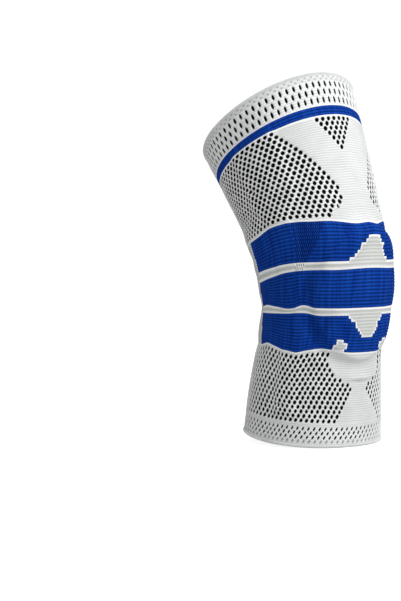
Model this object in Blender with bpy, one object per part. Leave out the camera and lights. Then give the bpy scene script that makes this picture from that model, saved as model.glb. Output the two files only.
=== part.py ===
"""Knitted knee sleeve with a soft ring round the kneecap and a spring stay down each side.

Metres, +Z up along the shin. The origin is on the leg's axis at the middle of the kneecap, the
kneecap faces -Y and the thigh leans back towards +Y. Heights run along the leg's axis from the
hem, and angles round the leg are in degrees from the front, positive towards +X.
"""
import math
from typing import NamedTuple

import bmesh
import bpy
import numpy as np

# Driving dimensions of the knitted tube, outside.
CALF_LENGTH = 0.124        # hem to the middle of the kneecap, along the leg's axis
THIGH_LENGTH = 0.160       # middle of the kneecap to the rim, along the leg's axis
HEM_WIDTH = 0.121
HEM_DEPTH = 0.119
KNEE_WIDTH = 0.103         # at the narrowest place, just under the kneecap
KNEE_DEPTH = 0.108
RIM_WIDTH = 0.141
RIM_DEPTH = 0.145
KNIT = 0.0020              # thickness of the knit
SHIN_LEAN = -4.5           # degrees from upright, positive backwards
THIGH_LEAN = 34.5
KNEECAP_RISE = 0.0065      # how far the kneecap and its ring push the knit out
CHANNEL_RISE = 0.0020      # how far a stay pushes the knit out
CHANNEL_MARGIN = 0.0025    # how far past the stay's edges the knit stays pushed out
CHANNEL_FALL = 0.0090      # how far beyond that it takes to fall back

# Driving dimensions of the kneecap ring.
RING_WIDTH = 0.075
RING_LENGTH = 0.120
RING_HOLE_WIDTH = 0.038
RING_HOLE_LENGTH = 0.066
RING_THICKNESS = 0.0065    # at the crest of its bead

# Driving dimensions of a side stay.
STAY_ANGLE = 72.0          # degrees round the leg from the front
HEAD_WIDTH = 0.031
HEAD_LENGTH = 0.042        # without the neck
HEAD_THICKNESS = 0.0022
EYELET_WIDTH = 0.015
EYELET_LENGTH = 0.023
NECK_WIDTH = 0.0094
NECK_LENGTH = 0.020
SPRING_WIDTH = 0.0080
SPRING_THICKNESS = 0.0024
TIP_WIDTH = 0.0090
TIP_LENGTH = 0.036
TIP_THICKNESS = 0.0026

# Named clearances.
INSIDE_GAP = 0.0007        # between the knit's inner face and what lies against it
STAY_JOINT_GAP = 0.0003    # between the parts of a stay, end to end

# Levels are places along the leg: -1 at the hem, 0 at the kneecap's middle and 1 at the rim.
HEM = -1.0
CUFF_TOP = -0.835
BLUE_BOTTOM = -0.355
LOWER_STRIPE = (-0.125, -0.080)
UPPER_STRIPE = (0.103, 0.139)
BLUE_TOP = 0.319
THIN_BAND = (0.785, 0.829)
RIM = 1.0
STAY_FOOT = -0.734
STAY_CROWN = 0.756
BEND = (-0.565, 0.990)     # where the lean starts to turn and where it has turned


class Section(NamedTuple):
    """One cross-section of the tube: an ellipse that is deeper or shallower in front."""

    level: float
    width: float
    depth: float
    front_share: float


SECTIONS = (
    Section(-1.00, 1.000 * HEM_WIDTH, 1.000 * HEM_DEPTH, 0.43),
    Section(-0.70, 0.958 * HEM_WIDTH, 0.967 * HEM_DEPTH, 0.43),
    Section(-0.38, 1.039 * KNEE_WIDTH, 1.019 * KNEE_DEPTH, 0.455),
    Section(-0.13, 1.000 * KNEE_WIDTH, 1.000 * KNEE_DEPTH, 0.49),
    Section(0.11, 1.068 * KNEE_WIDTH, 1.035 * KNEE_DEPTH, 0.515),
    Section(0.29, 1.165 * KNEE_WIDTH, 1.080 * KNEE_DEPTH, 0.52),
    Section(0.50, 0.887 * RIM_WIDTH, 0.835 * RIM_DEPTH, 0.50),
    Section(0.70, 0.936 * RIM_WIDTH, 0.903 * RIM_DEPTH, 0.51),
    Section(0.875, 0.972 * RIM_WIDTH, 0.962 * RIM_DEPTH, 0.535),
    Section(1.00, 1.000 * RIM_WIDTH, 1.000 * RIM_DEPTH, 0.55),
)


class Zone(NamedTuple):
    """One knitted zone: where it ends, how many rows of faces it has, and its yarn."""

    top: float
    rows: int
    yarn: str
    puff: float            # how far its middle stands out, as a share of the knit


ZONES = (
    Zone(CUFF_TOP, 3, "white", 0.00),
    Zone(BLUE_BOTTOM, 7, "white", 0.00),
    Zone(LOWER_STRIPE[0], 4, "blue", 0.30),
    Zone(LOWER_STRIPE[1], 1, "white", 0.00),
    Zone(UPPER_STRIPE[0], 4, "blue", 0.30),
    Zone(UPPER_STRIPE[1], 1, "white", 0.00),
    Zone(BLUE_TOP, 4, "blue", 0.30),
    Zone(THIN_BAND[0], 8, "white", 0.00),
    Zone(THIN_BAND[1], 1, "blue", 0.00),
    Zone(RIM, 3, "white", 0.25),
)


class Fold(NamedTuple):
    """One fold: where it is, its half sizes and how far it stands out, or in if negative."""

    level: float
    angle: float
    half_height: float     # share of the calf's length
    half_angle: float
    rise: float            # share of the knit's thickness


FOLDS = (
    Fold(0.46, 112.0, 0.085, 30.0, -0.70),
    Fold(0.36, 118.0, 0.080, 34.0, 0.45),
    Fold(0.24, 150.0, 0.095, 48.0, -0.90),
    Fold(0.10, 165.0, 0.090, 52.0, 0.60),
    Fold(-0.05, 158.0, 0.095, 50.0, -0.90),
    Fold(-0.20, 168.0, 0.090, 46.0, 0.50),
    Fold(-0.36, 128.0, 0.085, 34.0, -0.55),
    Fold(-0.78, 92.0, 0.080, 26.0, -0.35),
)

# The mound over the kneecap: its middle, its half sizes as shares of the ring's, and its slope.
MOUND_LEVEL = 0.02
MOUND_HALF_WIDTH = 0.84
MOUND_HALF_LENGTH = 0.46
MOUND_SLOPE = 0.46         # share of the half sizes over which it rises

COLUMNS = 60               # faces round the tube
RING_STEPS = 36
OVAL_SIDES = 8
SPRING_STEPS = 16
AXIS_STEPS = 600           # steps in which the leg's axis is worked out
LINE_STEPS = 400           # steps in which a line up the sleeve is measured
TURN_REACH = 70.0          # degrees each way that a line round the sleeve is measured over
TURN_STEPS = 141
AXIS_SPARE = 0.1           # levels by which the axis runs past the hem and the rim

PALETTE = {
    # name: colour, roughness, metallic
    "white": ((0.78, 0.79, 0.78), 0.85, 0.0),
    "blue": ((0.010, 0.040, 0.330), 0.80, 0.0),
    "silicone": ((0.66, 0.63, 0.69), 0.45, 0.0),
    "plate": ((0.80, 0.81, 0.80), 0.40, 0.0),
    "spring": ((0.55, 0.56, 0.58), 0.30, 1.0),
}


def clear_scene():
    """Remove every object, so that the script can be run again."""
    for thing in list(bpy.data.objects):
        bpy.data.objects.remove(thing, do_unlink=True)


def make_materials():
    """Return the materials by name."""
    made = {}
    for name, (colour, roughness, metallic) in PALETTE.items():
        material = bpy.data.materials.new(name)
        material.use_nodes = True
        shader = material.node_tree.nodes["Principled BSDF"]
        shader.inputs["Base Color"].default_value = (*colour, 1.0)
        shader.inputs["Roughness"].default_value = roughness
        shader.inputs["Metallic"].default_value = metallic
        made[name] = material
    return made


def smooth(share):
    """Ease from 0 to 1 as share goes from 0 to 1."""
    share = np.clip(share, 0.0, 1.0)
    return share * share * (3.0 - 2.0 * share)


def hill(distance, half):
    """Return 1 at no distance, easing to 0 at half and beyond."""
    return smooth(1.0 - np.abs(distance) / half)


def curve_through(known, values, at):
    """Read a smooth curve through the known points, with no overshoot at the ends."""
    known = np.asarray(known, float)
    values = np.asarray(values, float)
    at = np.clip(np.asarray(at, float), known[0], known[-1])
    slopes = np.gradient(values, known)
    span = np.clip(np.searchsorted(known, at, side="right") - 1, 0, len(known) - 2)
    step = known[span + 1] - known[span]
    share = (at - known[span]) / step
    rise = smooth(share)
    lead = share * (1.0 - share) ** 2
    trail = share * share * (share - 1.0)
    curved = values[span] * (1.0 - rise) + values[span + 1] * rise
    return curved + step * (lead * slopes[span] + trail * slopes[span + 1])


def height_of(level):
    """Return the height along the leg's axis, above the hem, of a level."""
    level = np.asarray(level, float)
    return CALF_LENGTH + level * np.where(level < 0.0, CALF_LENGTH, THIGH_LENGTH)


def level_of(height):
    """Return the level of a height above the hem."""
    above = np.asarray(height, float) - CALF_LENGTH
    return above / np.where(above < 0.0, CALF_LENGTH, THIGH_LENGTH)


def lean(level):
    """Return the leg's lean in radians at a level."""
    turned = smooth((height_of(level) - height_of(BEND[0])) / (height_of(BEND[1]) - height_of(BEND[0])))
    return np.radians(SHIN_LEAN + (THIGH_LEAN - SHIN_LEAN) * turned)


def axis_table():
    """Work out the leg's axis: heights, and the y and z reached there from the kneecap's level."""
    heights = np.linspace(height_of(HEM - AXIS_SPARE), height_of(RIM + AXIS_SPARE), AXIS_STEPS)
    tilt = lean(level_of(heights))
    steps = np.diff(heights)
    y = np.concatenate([[0.0], np.cumsum(0.5 * (np.sin(tilt[1:]) + np.sin(tilt[:-1])) * steps)])
    z = np.concatenate([[0.0], np.cumsum(0.5 * (np.cos(tilt[1:]) + np.cos(tilt[:-1])) * steps)])
    y -= np.interp(CALF_LENGTH, heights, y)
    z -= np.interp(CALF_LENGTH, heights, z)
    return heights, y, z


AXIS = axis_table()


def section(level):
    """Return the half width, front depth and back depth of the tube at a level."""
    levels = [row.level for row in SECTIONS]
    half_width = curve_through(levels, [row.width / 2.0 for row in SECTIONS], level)
    front = curve_through(levels, [row.depth * row.front_share for row in SECTIONS], level)
    back = curve_through(levels, [row.depth * (1.0 - row.front_share) for row in SECTIONS], level)
    return half_width, front, back


def turned_from(angle, middle):
    """Return the shorter turn in degrees from the middle angle to an angle."""
    return (angle - middle + 180.0) % 360.0 - 180.0


def round_reach(angle, level, middle):
    """Return the rough distance round the leg from the middle angle, in metres."""
    half_width, front, back = section(level)
    radius = (2.0 * half_width + front + back) / 4.0
    return np.radians(turned_from(angle, middle)) * radius


def kneecap_mound(angle, level):
    """Return how far the kneecap and its ring push the knit out."""
    across = round_reach(angle, level, 0.0) / (MOUND_HALF_WIDTH * RING_WIDTH)
    along = (height_of(level) - height_of(MOUND_LEVEL)) / (MOUND_HALF_LENGTH * RING_LENGTH)
    return KNEECAP_RISE * smooth((1.0 - np.hypot(across, along)) / MOUND_SLOPE)


def stay_channel(angle, level, side):
    """Return how far the stay on one side pushes the knit out."""
    across = np.abs(round_reach(angle, level, side * STAY_ANGLE))
    under_head = smooth((height_of(level) - head_base()) / NECK_LENGTH)
    half_stay = SPRING_WIDTH / 2.0 + under_head * (HEAD_WIDTH - SPRING_WIDTH) / 2.0
    reach = CHANNEL_MARGIN + CHANNEL_FALL
    sides = smooth((half_stay + reach - across) / CHANNEL_FALL)
    lower = smooth((height_of(level) - height_of(STAY_FOOT) + reach) / CHANNEL_FALL)
    upper = smooth((height_of(STAY_CROWN) + reach - height_of(level)) / CHANNEL_FALL)
    return CHANNEL_RISE * sides * lower * upper


def head_base():
    """Return the height where a stay's neck meets its spring."""
    return height_of(STAY_CROWN) - HEAD_LENGTH - NECK_LENGTH


def zone_puff(level):
    """Return how far the knitted zones stand out between their edges."""
    out = np.zeros_like(np.asarray(level, float))
    bottom = HEM
    for zone in ZONES:
        share = np.clip((level - bottom) / (zone.top - bottom), 0.0, 1.0)
        out = out + KNIT * zone.puff * np.sin(math.pi * share)
        bottom = zone.top
    return out


def folds(angle, level):
    """Return how far the folds move the knit."""
    out = np.zeros_like(np.asarray(angle + level, float))
    for fold in FOLDS:
        along = hill(height_of(level) - height_of(fold.level), fold.half_height * CALF_LENGTH)
        for side in (-1.0, 1.0):
            away = turned_from(angle, side * fold.angle)
            out = out + KNIT * fold.rise * along * hill(away, fold.half_angle)
    return out


def relief(angle, level):
    """Return how far the knit stands out from the plain sections."""
    out = kneecap_mound(angle, level) + zone_puff(level) + folds(angle, level)
    for side in (-1.0, 1.0):
        out = out + stay_channel(angle, level, side)
    return out


def on_sleeve(angle, level, depth=0.0):
    """Return points at these angles and levels, at a depth inside the knit's outer face."""
    angle, level, depth = np.broadcast_arrays(
        np.asarray(angle, float), np.asarray(level, float), np.asarray(depth, float))
    half_width, front, back = section(level)
    turn = np.radians(angle)
    half_depth = np.where(np.cos(turn) > 0.0, front, back)
    normal_x = np.sin(turn) / half_width
    normal_y = -np.cos(turn) / half_depth
    size = np.hypot(normal_x, normal_y)
    out = relief(angle, level) - depth
    x = half_width * np.sin(turn) + out * normal_x / size
    y = -half_depth * np.cos(turn) + out * normal_y / size
    heights, axis_y, axis_z = AXIS
    height = height_of(level)
    tilt = lean(level)
    world_y = np.interp(height, heights, axis_y) + y * np.cos(tilt)
    world_z = np.interp(height, heights, axis_z) - y * np.sin(tilt)
    return np.stack([x, world_y, world_z], axis=-1)


def climb(angle, level, distance):
    """Return the level reached from a level by going this far up the sleeve at an angle."""
    levels = np.linspace(HEM, RIM, LINE_STEPS)
    line = on_sleeve(angle, levels, KNIT)
    gone = np.concatenate([[0.0], np.cumsum(np.linalg.norm(np.diff(line, axis=0), axis=1))])
    start = np.interp(level, levels, gone)
    return np.interp(start + np.asarray(distance), gone, levels)


def go_round(angle, level, distance):
    """Return the angle reached from an angle by going this far round the sleeve at a level."""
    angles = np.linspace(angle - TURN_REACH, angle + TURN_REACH, TURN_STEPS)
    line = on_sleeve(angles, level, KNIT)
    gone = np.concatenate([[0.0], np.cumsum(np.linalg.norm(np.diff(line, axis=0), axis=1))])
    start = np.interp(angle, angles, gone)
    return np.interp(start + np.asarray(distance), gone, angles)


def lay(angle, level, across, along, depth):
    """Return the point that lies across and along from a place on the sleeve, at a depth."""
    reached = float(climb(angle, level, along))
    turned = float(go_round(angle, reached, across))
    return on_sleeve(turned, reached, depth)


def new_object(name, points, faces, materials, slots=None):
    """Make one closed mesh object, with its faces pointing out."""
    mesh = bpy.data.meshes.new(name)
    mesh.from_pydata([tuple(point) for point in points], [], faces)
    for material in materials:
        mesh.materials.append(material)
    if slots is not None:
        mesh.polygons.foreach_set("material_index", slots)
    shape = bmesh.new()
    shape.from_mesh(mesh)
    bmesh.ops.recalc_face_normals(shape, faces=shape.faces[:])
    shape.to_mesh(mesh)
    shape.free()
    mesh.shade_smooth()
    thing = bpy.data.objects.new(name, mesh)
    bpy.context.scene.collection.objects.link(thing)
    return thing


def loft(loops, closed_ends):
    """Return points and faces of a tube through loops of as many points each.

    With closed_ends the first and last loops are filled, and otherwise they meet.
    """
    count = len(loops[0])
    points = [point for loop in loops for point in loop]
    faces = []
    spans = len(loops) - 1 if closed_ends else len(loops)
    for row in range(spans):
        following = (row + 1) % len(loops)
        for column in range(count):
            beside = (column + 1) % count
            faces.append((
                row * count + column,
                row * count + beside,
                following * count + beside,
                following * count + column,
            ))
    if closed_ends:
        faces.append(tuple(range(count)))
        faces.append(tuple(range((len(loops) - 1) * count, len(loops) * count)))
    return points, faces


def knit_sleeve(materials):
    """Make the knitted tube: an outer face, an inner face, and the hem and rim between them."""
    levels = [HEM]
    yarns = []
    bottom = HEM
    for zone in ZONES:
        levels += list(np.linspace(bottom, zone.top, zone.rows + 1)[1:])
        yarns += [zone.yarn] * zone.rows
        bottom = zone.top
    angles = np.arange(COLUMNS) * 360.0 / COLUMNS
    outer = [on_sleeve(angles, level) for level in levels]
    inner = [on_sleeve(angles, level, KNIT) for level in levels]
    points, faces = loft(outer + inner[::-1], closed_ends=False)
    colours = yarns + ["white"] + yarns[::-1] + ["white"]
    slots = [int(colour == "blue") for colour in colours for _ in range(COLUMNS)]
    return new_object("knit_sleeve", points, faces, [materials["white"], materials["blue"]], slots)


class RingRow(NamedTuple):
    """One row across the kneecap ring, from its outer edge to its hole."""

    share: float           # 0 at the outer edge, 1 at the hole
    dip: float             # how far its face dips below the knit, as a share of the thickness
    thickness: float       # share of the ring's thickness


RING_ROWS = (
    RingRow(0.00, 0.00, 0.16),
    RingRow(0.12, 0.06, 0.26),
    RingRow(0.32, 0.14, 0.42),
    RingRow(0.48, 0.04, 0.78),
    RingRow(0.60, 0.00, 1.00),
    RingRow(0.74, 0.10, 0.84),
    RingRow(0.88, 0.32, 0.54),
    RingRow(1.00, 0.46, 0.30),
)


def patella_ring(materials):
    """Make the soft ring that lies inside the knit round the kneecap."""
    loops = []
    for step in range(RING_STEPS):
        turn = 2.0 * math.pi * step / RING_STEPS
        face = []
        back = []
        for row in RING_ROWS:
            half_width = RING_WIDTH / 2.0 + row.share * (RING_HOLE_WIDTH - RING_WIDTH) / 2.0
            half_length = RING_LENGTH / 2.0 + row.share * (RING_HOLE_LENGTH - RING_LENGTH) / 2.0
            across = half_width * math.sin(turn)
            along = half_length * math.cos(turn)
            depth = KNIT + INSIDE_GAP + row.dip * RING_THICKNESS
            face.append(lay(0.0, 0.0, across, along, depth))
            back.append(lay(0.0, 0.0, across, along, depth + row.thickness * RING_THICKNESS))
        loops.append(face + back[::-1])
    points, faces = loft(loops, closed_ends=False)
    return new_object("patella_ring", points, faces, [materials["silicone"]])


def stay_point(side, height, across, depth):
    """Return a point of a stay: its height above the hem, its place across and its depth."""
    level = float(level_of(height))
    turned = float(go_round(side * STAY_ANGLE, level, across))
    return on_sleeve(turned, level, depth)


class Outline(NamedTuple):
    """One place on the right-hand edge of a stay's head, as shares of its size."""

    half_width: float
    height: float          # 0 where the head meets its neck, 1 at its crown


HEAD_OUTLINE = (
    Outline(0.00, 1.00),
    Outline(0.50, 1.00),
    Outline(0.76, 0.96),
    Outline(0.96, 0.80),
    Outline(1.00, 0.60),
    Outline(1.00, 0.44),
    Outline(0.92, 0.28),
    Outline(0.68, 0.14),
    Outline(0.42, 0.06),
)
EYELET_MIDDLE = 0.56       # share of the head's length
NECK_ROWS = 4


def stay_head(name, side, materials):
    """Make a stay's plate: an eight-cornered head with an oval eyelet, and its neck."""
    base = head_base() + NECK_LENGTH
    right = [(row.half_width * HEAD_WIDTH / 2.0, row.height * HEAD_LENGTH) for row in HEAD_OUTLINE]
    neck_top = (NECK_WIDTH / 2.0, 0.0)
    outline = right + [neck_top, (-NECK_WIDTH / 2.0, 0.0)]
    outline += [(-across, along) for across, along in right[:0:-1]]
    middle = EYELET_MIDDLE * HEAD_LENGTH
    eyelet = []
    for across, along in outline:
        turn = math.atan2(across / EYELET_WIDTH, (along - middle) / EYELET_LENGTH)
        eyelet.append((EYELET_WIDTH / 2.0 * math.sin(turn), middle + EYELET_LENGTH / 2.0 * math.cos(turn)))
    count = len(outline)
    flat = outline + eyelet
    cells = [(i, (i + 1) % count, count + (i + 1) % count, count + i) for i in range(count)]
    left = len(right) + 1
    above = (len(right), left)
    for row in range(1, NECK_ROWS + 1):
        along = -NECK_LENGTH * row / NECK_ROWS
        spring_share = smooth(row / NECK_ROWS)
        half = NECK_WIDTH / 2.0 + spring_share * (SPRING_WIDTH - NECK_WIDTH) / 2.0
        below = (len(flat), len(flat) + 1)
        flat += [(half, along), (-half, along)]
        cells.append((above[0], below[0], below[1], above[1]))
        above = below
    near = KNIT + INSIDE_GAP
    far = near + HEAD_THICKNESS
    points = [stay_point(side, base + along, across, near) for across, along in flat]
    points += [stay_point(side, base + along, across, far) for across, along in flat]
    shift = len(flat)
    faces = list(cells) + [tuple(index + shift for index in reversed(cell)) for cell in cells]
    edges = {}
    for cell in cells:
        for start, end in zip(cell, cell[1:] + cell[:1]):
            edges[(start, end)] = edges.get((end, start), 0) + 1
    for start, end in edges:
        if (end, start) not in edges:
            faces.append((end, start, start + shift, end + shift))
    return new_object(name, points, faces, [materials["plate"]])


def oval_bar(name, side, stations, materials, colour):
    """Make a flat bar of oval section through stations of height, half width and half thickness."""
    loops = []
    for height, half_width, half_thickness in stations:
        loop = []
        for corner in range(OVAL_SIDES):
            turn = 2.0 * math.pi * (corner + 0.5) / OVAL_SIDES
            fit = math.cos(math.pi / OVAL_SIDES)
            depth = KNIT + INSIDE_GAP + half_thickness * (1.0 - math.sin(turn) / fit)
            loop.append(stay_point(side, height, half_width * math.cos(turn) / fit, depth))
        loops.append(loop)
    points, faces = loft(loops, closed_ends=True)
    return new_object(name, points, faces, [materials[colour]])


TIP_ROWS = (
    # share of the length from the foot, share of the width, share of the thickness
    (0.00, 0.42, 0.50),
    (0.04, 0.74, 0.76),
    (0.12, 0.97, 0.95),
    (0.30, 1.00, 1.00),
    (0.65, 1.00, 1.00),
    (1.00, 0.92, 1.00),
)


def side_stay(label, side, materials):
    """Make the head, spring and tip of one side's stay."""
    foot = float(height_of(STAY_FOOT))
    stay_head(f"{label}_stay_head", side, materials)
    tip = []
    for share, width, thickness in TIP_ROWS:
        tip.append((foot + share * TIP_LENGTH, width * TIP_WIDTH / 2.0, thickness * TIP_THICKNESS / 2.0))
    oval_bar(f"{label}_stay_tip", side, tip, materials, "plate")
    low = foot + TIP_LENGTH + STAY_JOINT_GAP
    high = float(head_base()) - STAY_JOINT_GAP
    heights = np.linspace(low, high, SPRING_STEPS + 1)
    spring = [(height, SPRING_WIDTH / 2.0, SPRING_THICKNESS / 2.0) for height in heights]
    oval_bar(f"{label}_stay_spring", side, spring, materials, "spring")


def build():
    """Make the whole sleeve."""
    clear_scene()
    materials = make_materials()
    knit_sleeve(materials)
    patella_ring(materials)
    for label, side in (("inner", 1.0), ("outer", -1.0)):
        side_stay(label, side, materials)


build()
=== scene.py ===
"""Knitted knee sleeve, dressed for its portrait.

The circular knit is made in five stretches between its colour bands, with its open-work dots,
courses and rolled edges. Inside it lie the soft kneecap ring and a plate, a spiral spring and a
foot down each side. Metres and degrees; the origin is on the leg's axis at the middle of the
kneecap, the kneecap faces -Y and +Z runs up the shin. Heights run along the leg from the hem.
"""
import logging
import math
from dataclasses import dataclass, field, replace
from enum import Enum
from typing import Any, Sequence

import bmesh
import bpy
import numpy as np
from bpy.types import Material, Mesh, Node, NodeSocket, NodeTree, Object
from mathutils import Matrix, Vector

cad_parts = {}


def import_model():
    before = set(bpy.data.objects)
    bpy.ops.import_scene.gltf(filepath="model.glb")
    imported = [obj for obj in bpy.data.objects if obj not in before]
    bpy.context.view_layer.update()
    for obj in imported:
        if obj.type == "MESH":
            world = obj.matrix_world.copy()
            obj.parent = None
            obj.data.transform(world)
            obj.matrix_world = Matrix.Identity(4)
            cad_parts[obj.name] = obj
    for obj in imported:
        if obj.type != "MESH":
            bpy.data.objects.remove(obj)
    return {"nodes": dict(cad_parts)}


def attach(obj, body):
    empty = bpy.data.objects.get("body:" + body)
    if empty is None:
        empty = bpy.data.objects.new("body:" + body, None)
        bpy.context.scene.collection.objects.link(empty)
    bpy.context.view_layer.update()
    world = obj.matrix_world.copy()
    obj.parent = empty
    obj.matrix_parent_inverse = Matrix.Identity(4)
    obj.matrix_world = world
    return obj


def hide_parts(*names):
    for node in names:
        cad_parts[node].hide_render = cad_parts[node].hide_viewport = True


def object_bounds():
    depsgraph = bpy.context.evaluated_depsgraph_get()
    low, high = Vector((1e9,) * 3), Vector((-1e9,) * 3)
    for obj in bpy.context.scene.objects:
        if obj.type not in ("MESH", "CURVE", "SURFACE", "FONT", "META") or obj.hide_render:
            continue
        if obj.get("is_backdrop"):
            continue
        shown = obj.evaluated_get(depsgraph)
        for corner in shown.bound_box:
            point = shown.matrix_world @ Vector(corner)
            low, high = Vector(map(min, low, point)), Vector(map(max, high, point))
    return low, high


LOG = logging.getLogger("knee_sleeve")
MM = 0.001
ROOT = "root"
FULL_TURN = 360.0
DOTS_ROUND = 72            # dots and dashes in one course of open work
Array = np.ndarray
Colour = tuple[float, float, float]


class Yarn(Enum):
    """The two yarns of the knit, with the value that the finish reads."""

    WHITE = 0.0
    BLUE = 1.0


class Hold(Enum):
    """How a sheet of cloth is held."""

    STRETCHED = "stretched"


class Side(Enum):
    """The two sides of the leg, with the sign of their angle from the front."""

    INNER = 1.0
    OUTER = -1.0


def smooth(share: Array | float) -> Array:
    """Ease from 0 to 1 as share goes from 0 to 1."""
    share = np.clip(share, 0.0, 1.0)
    return share * share * (3.0 - 2.0 * share)


def hill(distance: Array | float, half: float) -> Array:
    """Return 1 at no distance, easing to 0 at half and beyond."""
    return smooth(1.0 - np.abs(distance) / half)


def turned_from(angle: Array | float, middle: float) -> Array:
    """Return the shorter turn in degrees from the middle angle to an angle."""
    return (np.asarray(angle) - middle + FULL_TURN / 2.0) % FULL_TURN - FULL_TURN / 2.0


def curve_through(known: Sequence[float], values: Sequence[float], at: Array | float) -> Array:
    """Read a smooth curve through known points, with no overshoot at the ends.

    Args:
        known: Where the curve is known, in rising order.
        values: What it is there.
        at: Where to read it.

    Returns:
        The values at those places.
    """
    known = np.asarray(known, float)
    values = np.asarray(values, float)
    at = np.clip(np.asarray(at, float), known[0], known[-1])
    slopes = np.gradient(values, known)
    span = np.clip(np.searchsorted(known, at, side="right") - 1, 0, len(known) - 2)
    step = known[span + 1] - known[span]
    share = (at - known[span]) / step
    rise = smooth(share)
    lead = share * (1.0 - share) ** 2
    trail = share * share * (share - 1.0)
    curved = values[span] * (1.0 - rise) + values[span + 1] * rise
    return curved + step * (lead * slopes[span] + trail * slopes[span + 1])


@dataclass(frozen=True)
class Section:
    """One cross-section of the sleeve: an ellipse that is deeper or shallower in front."""

    level: float
    width: float
    depth: float
    front_share: float


@dataclass(frozen=True)
class Zone:
    """One stretch of the knit: the level where it ends and how far its middle puffs out."""

    top: float
    puff: float


@dataclass(frozen=True)
class Fold:
    """One broad fold: its place, its half sizes and how far it stands out, or in if negative."""

    level: float
    angle: float
    half_height: float     # share of the calf's length
    half_angle: float
    rise: float            # share of the knit's thickness


@dataclass(frozen=True)
class Crease:
    """One small crease of the cloth: its middle, half sizes, turn and rise, in metres and degrees."""

    angle: float
    height: float
    half_across: float
    half_along: float
    turn: float
    rise: float


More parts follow.
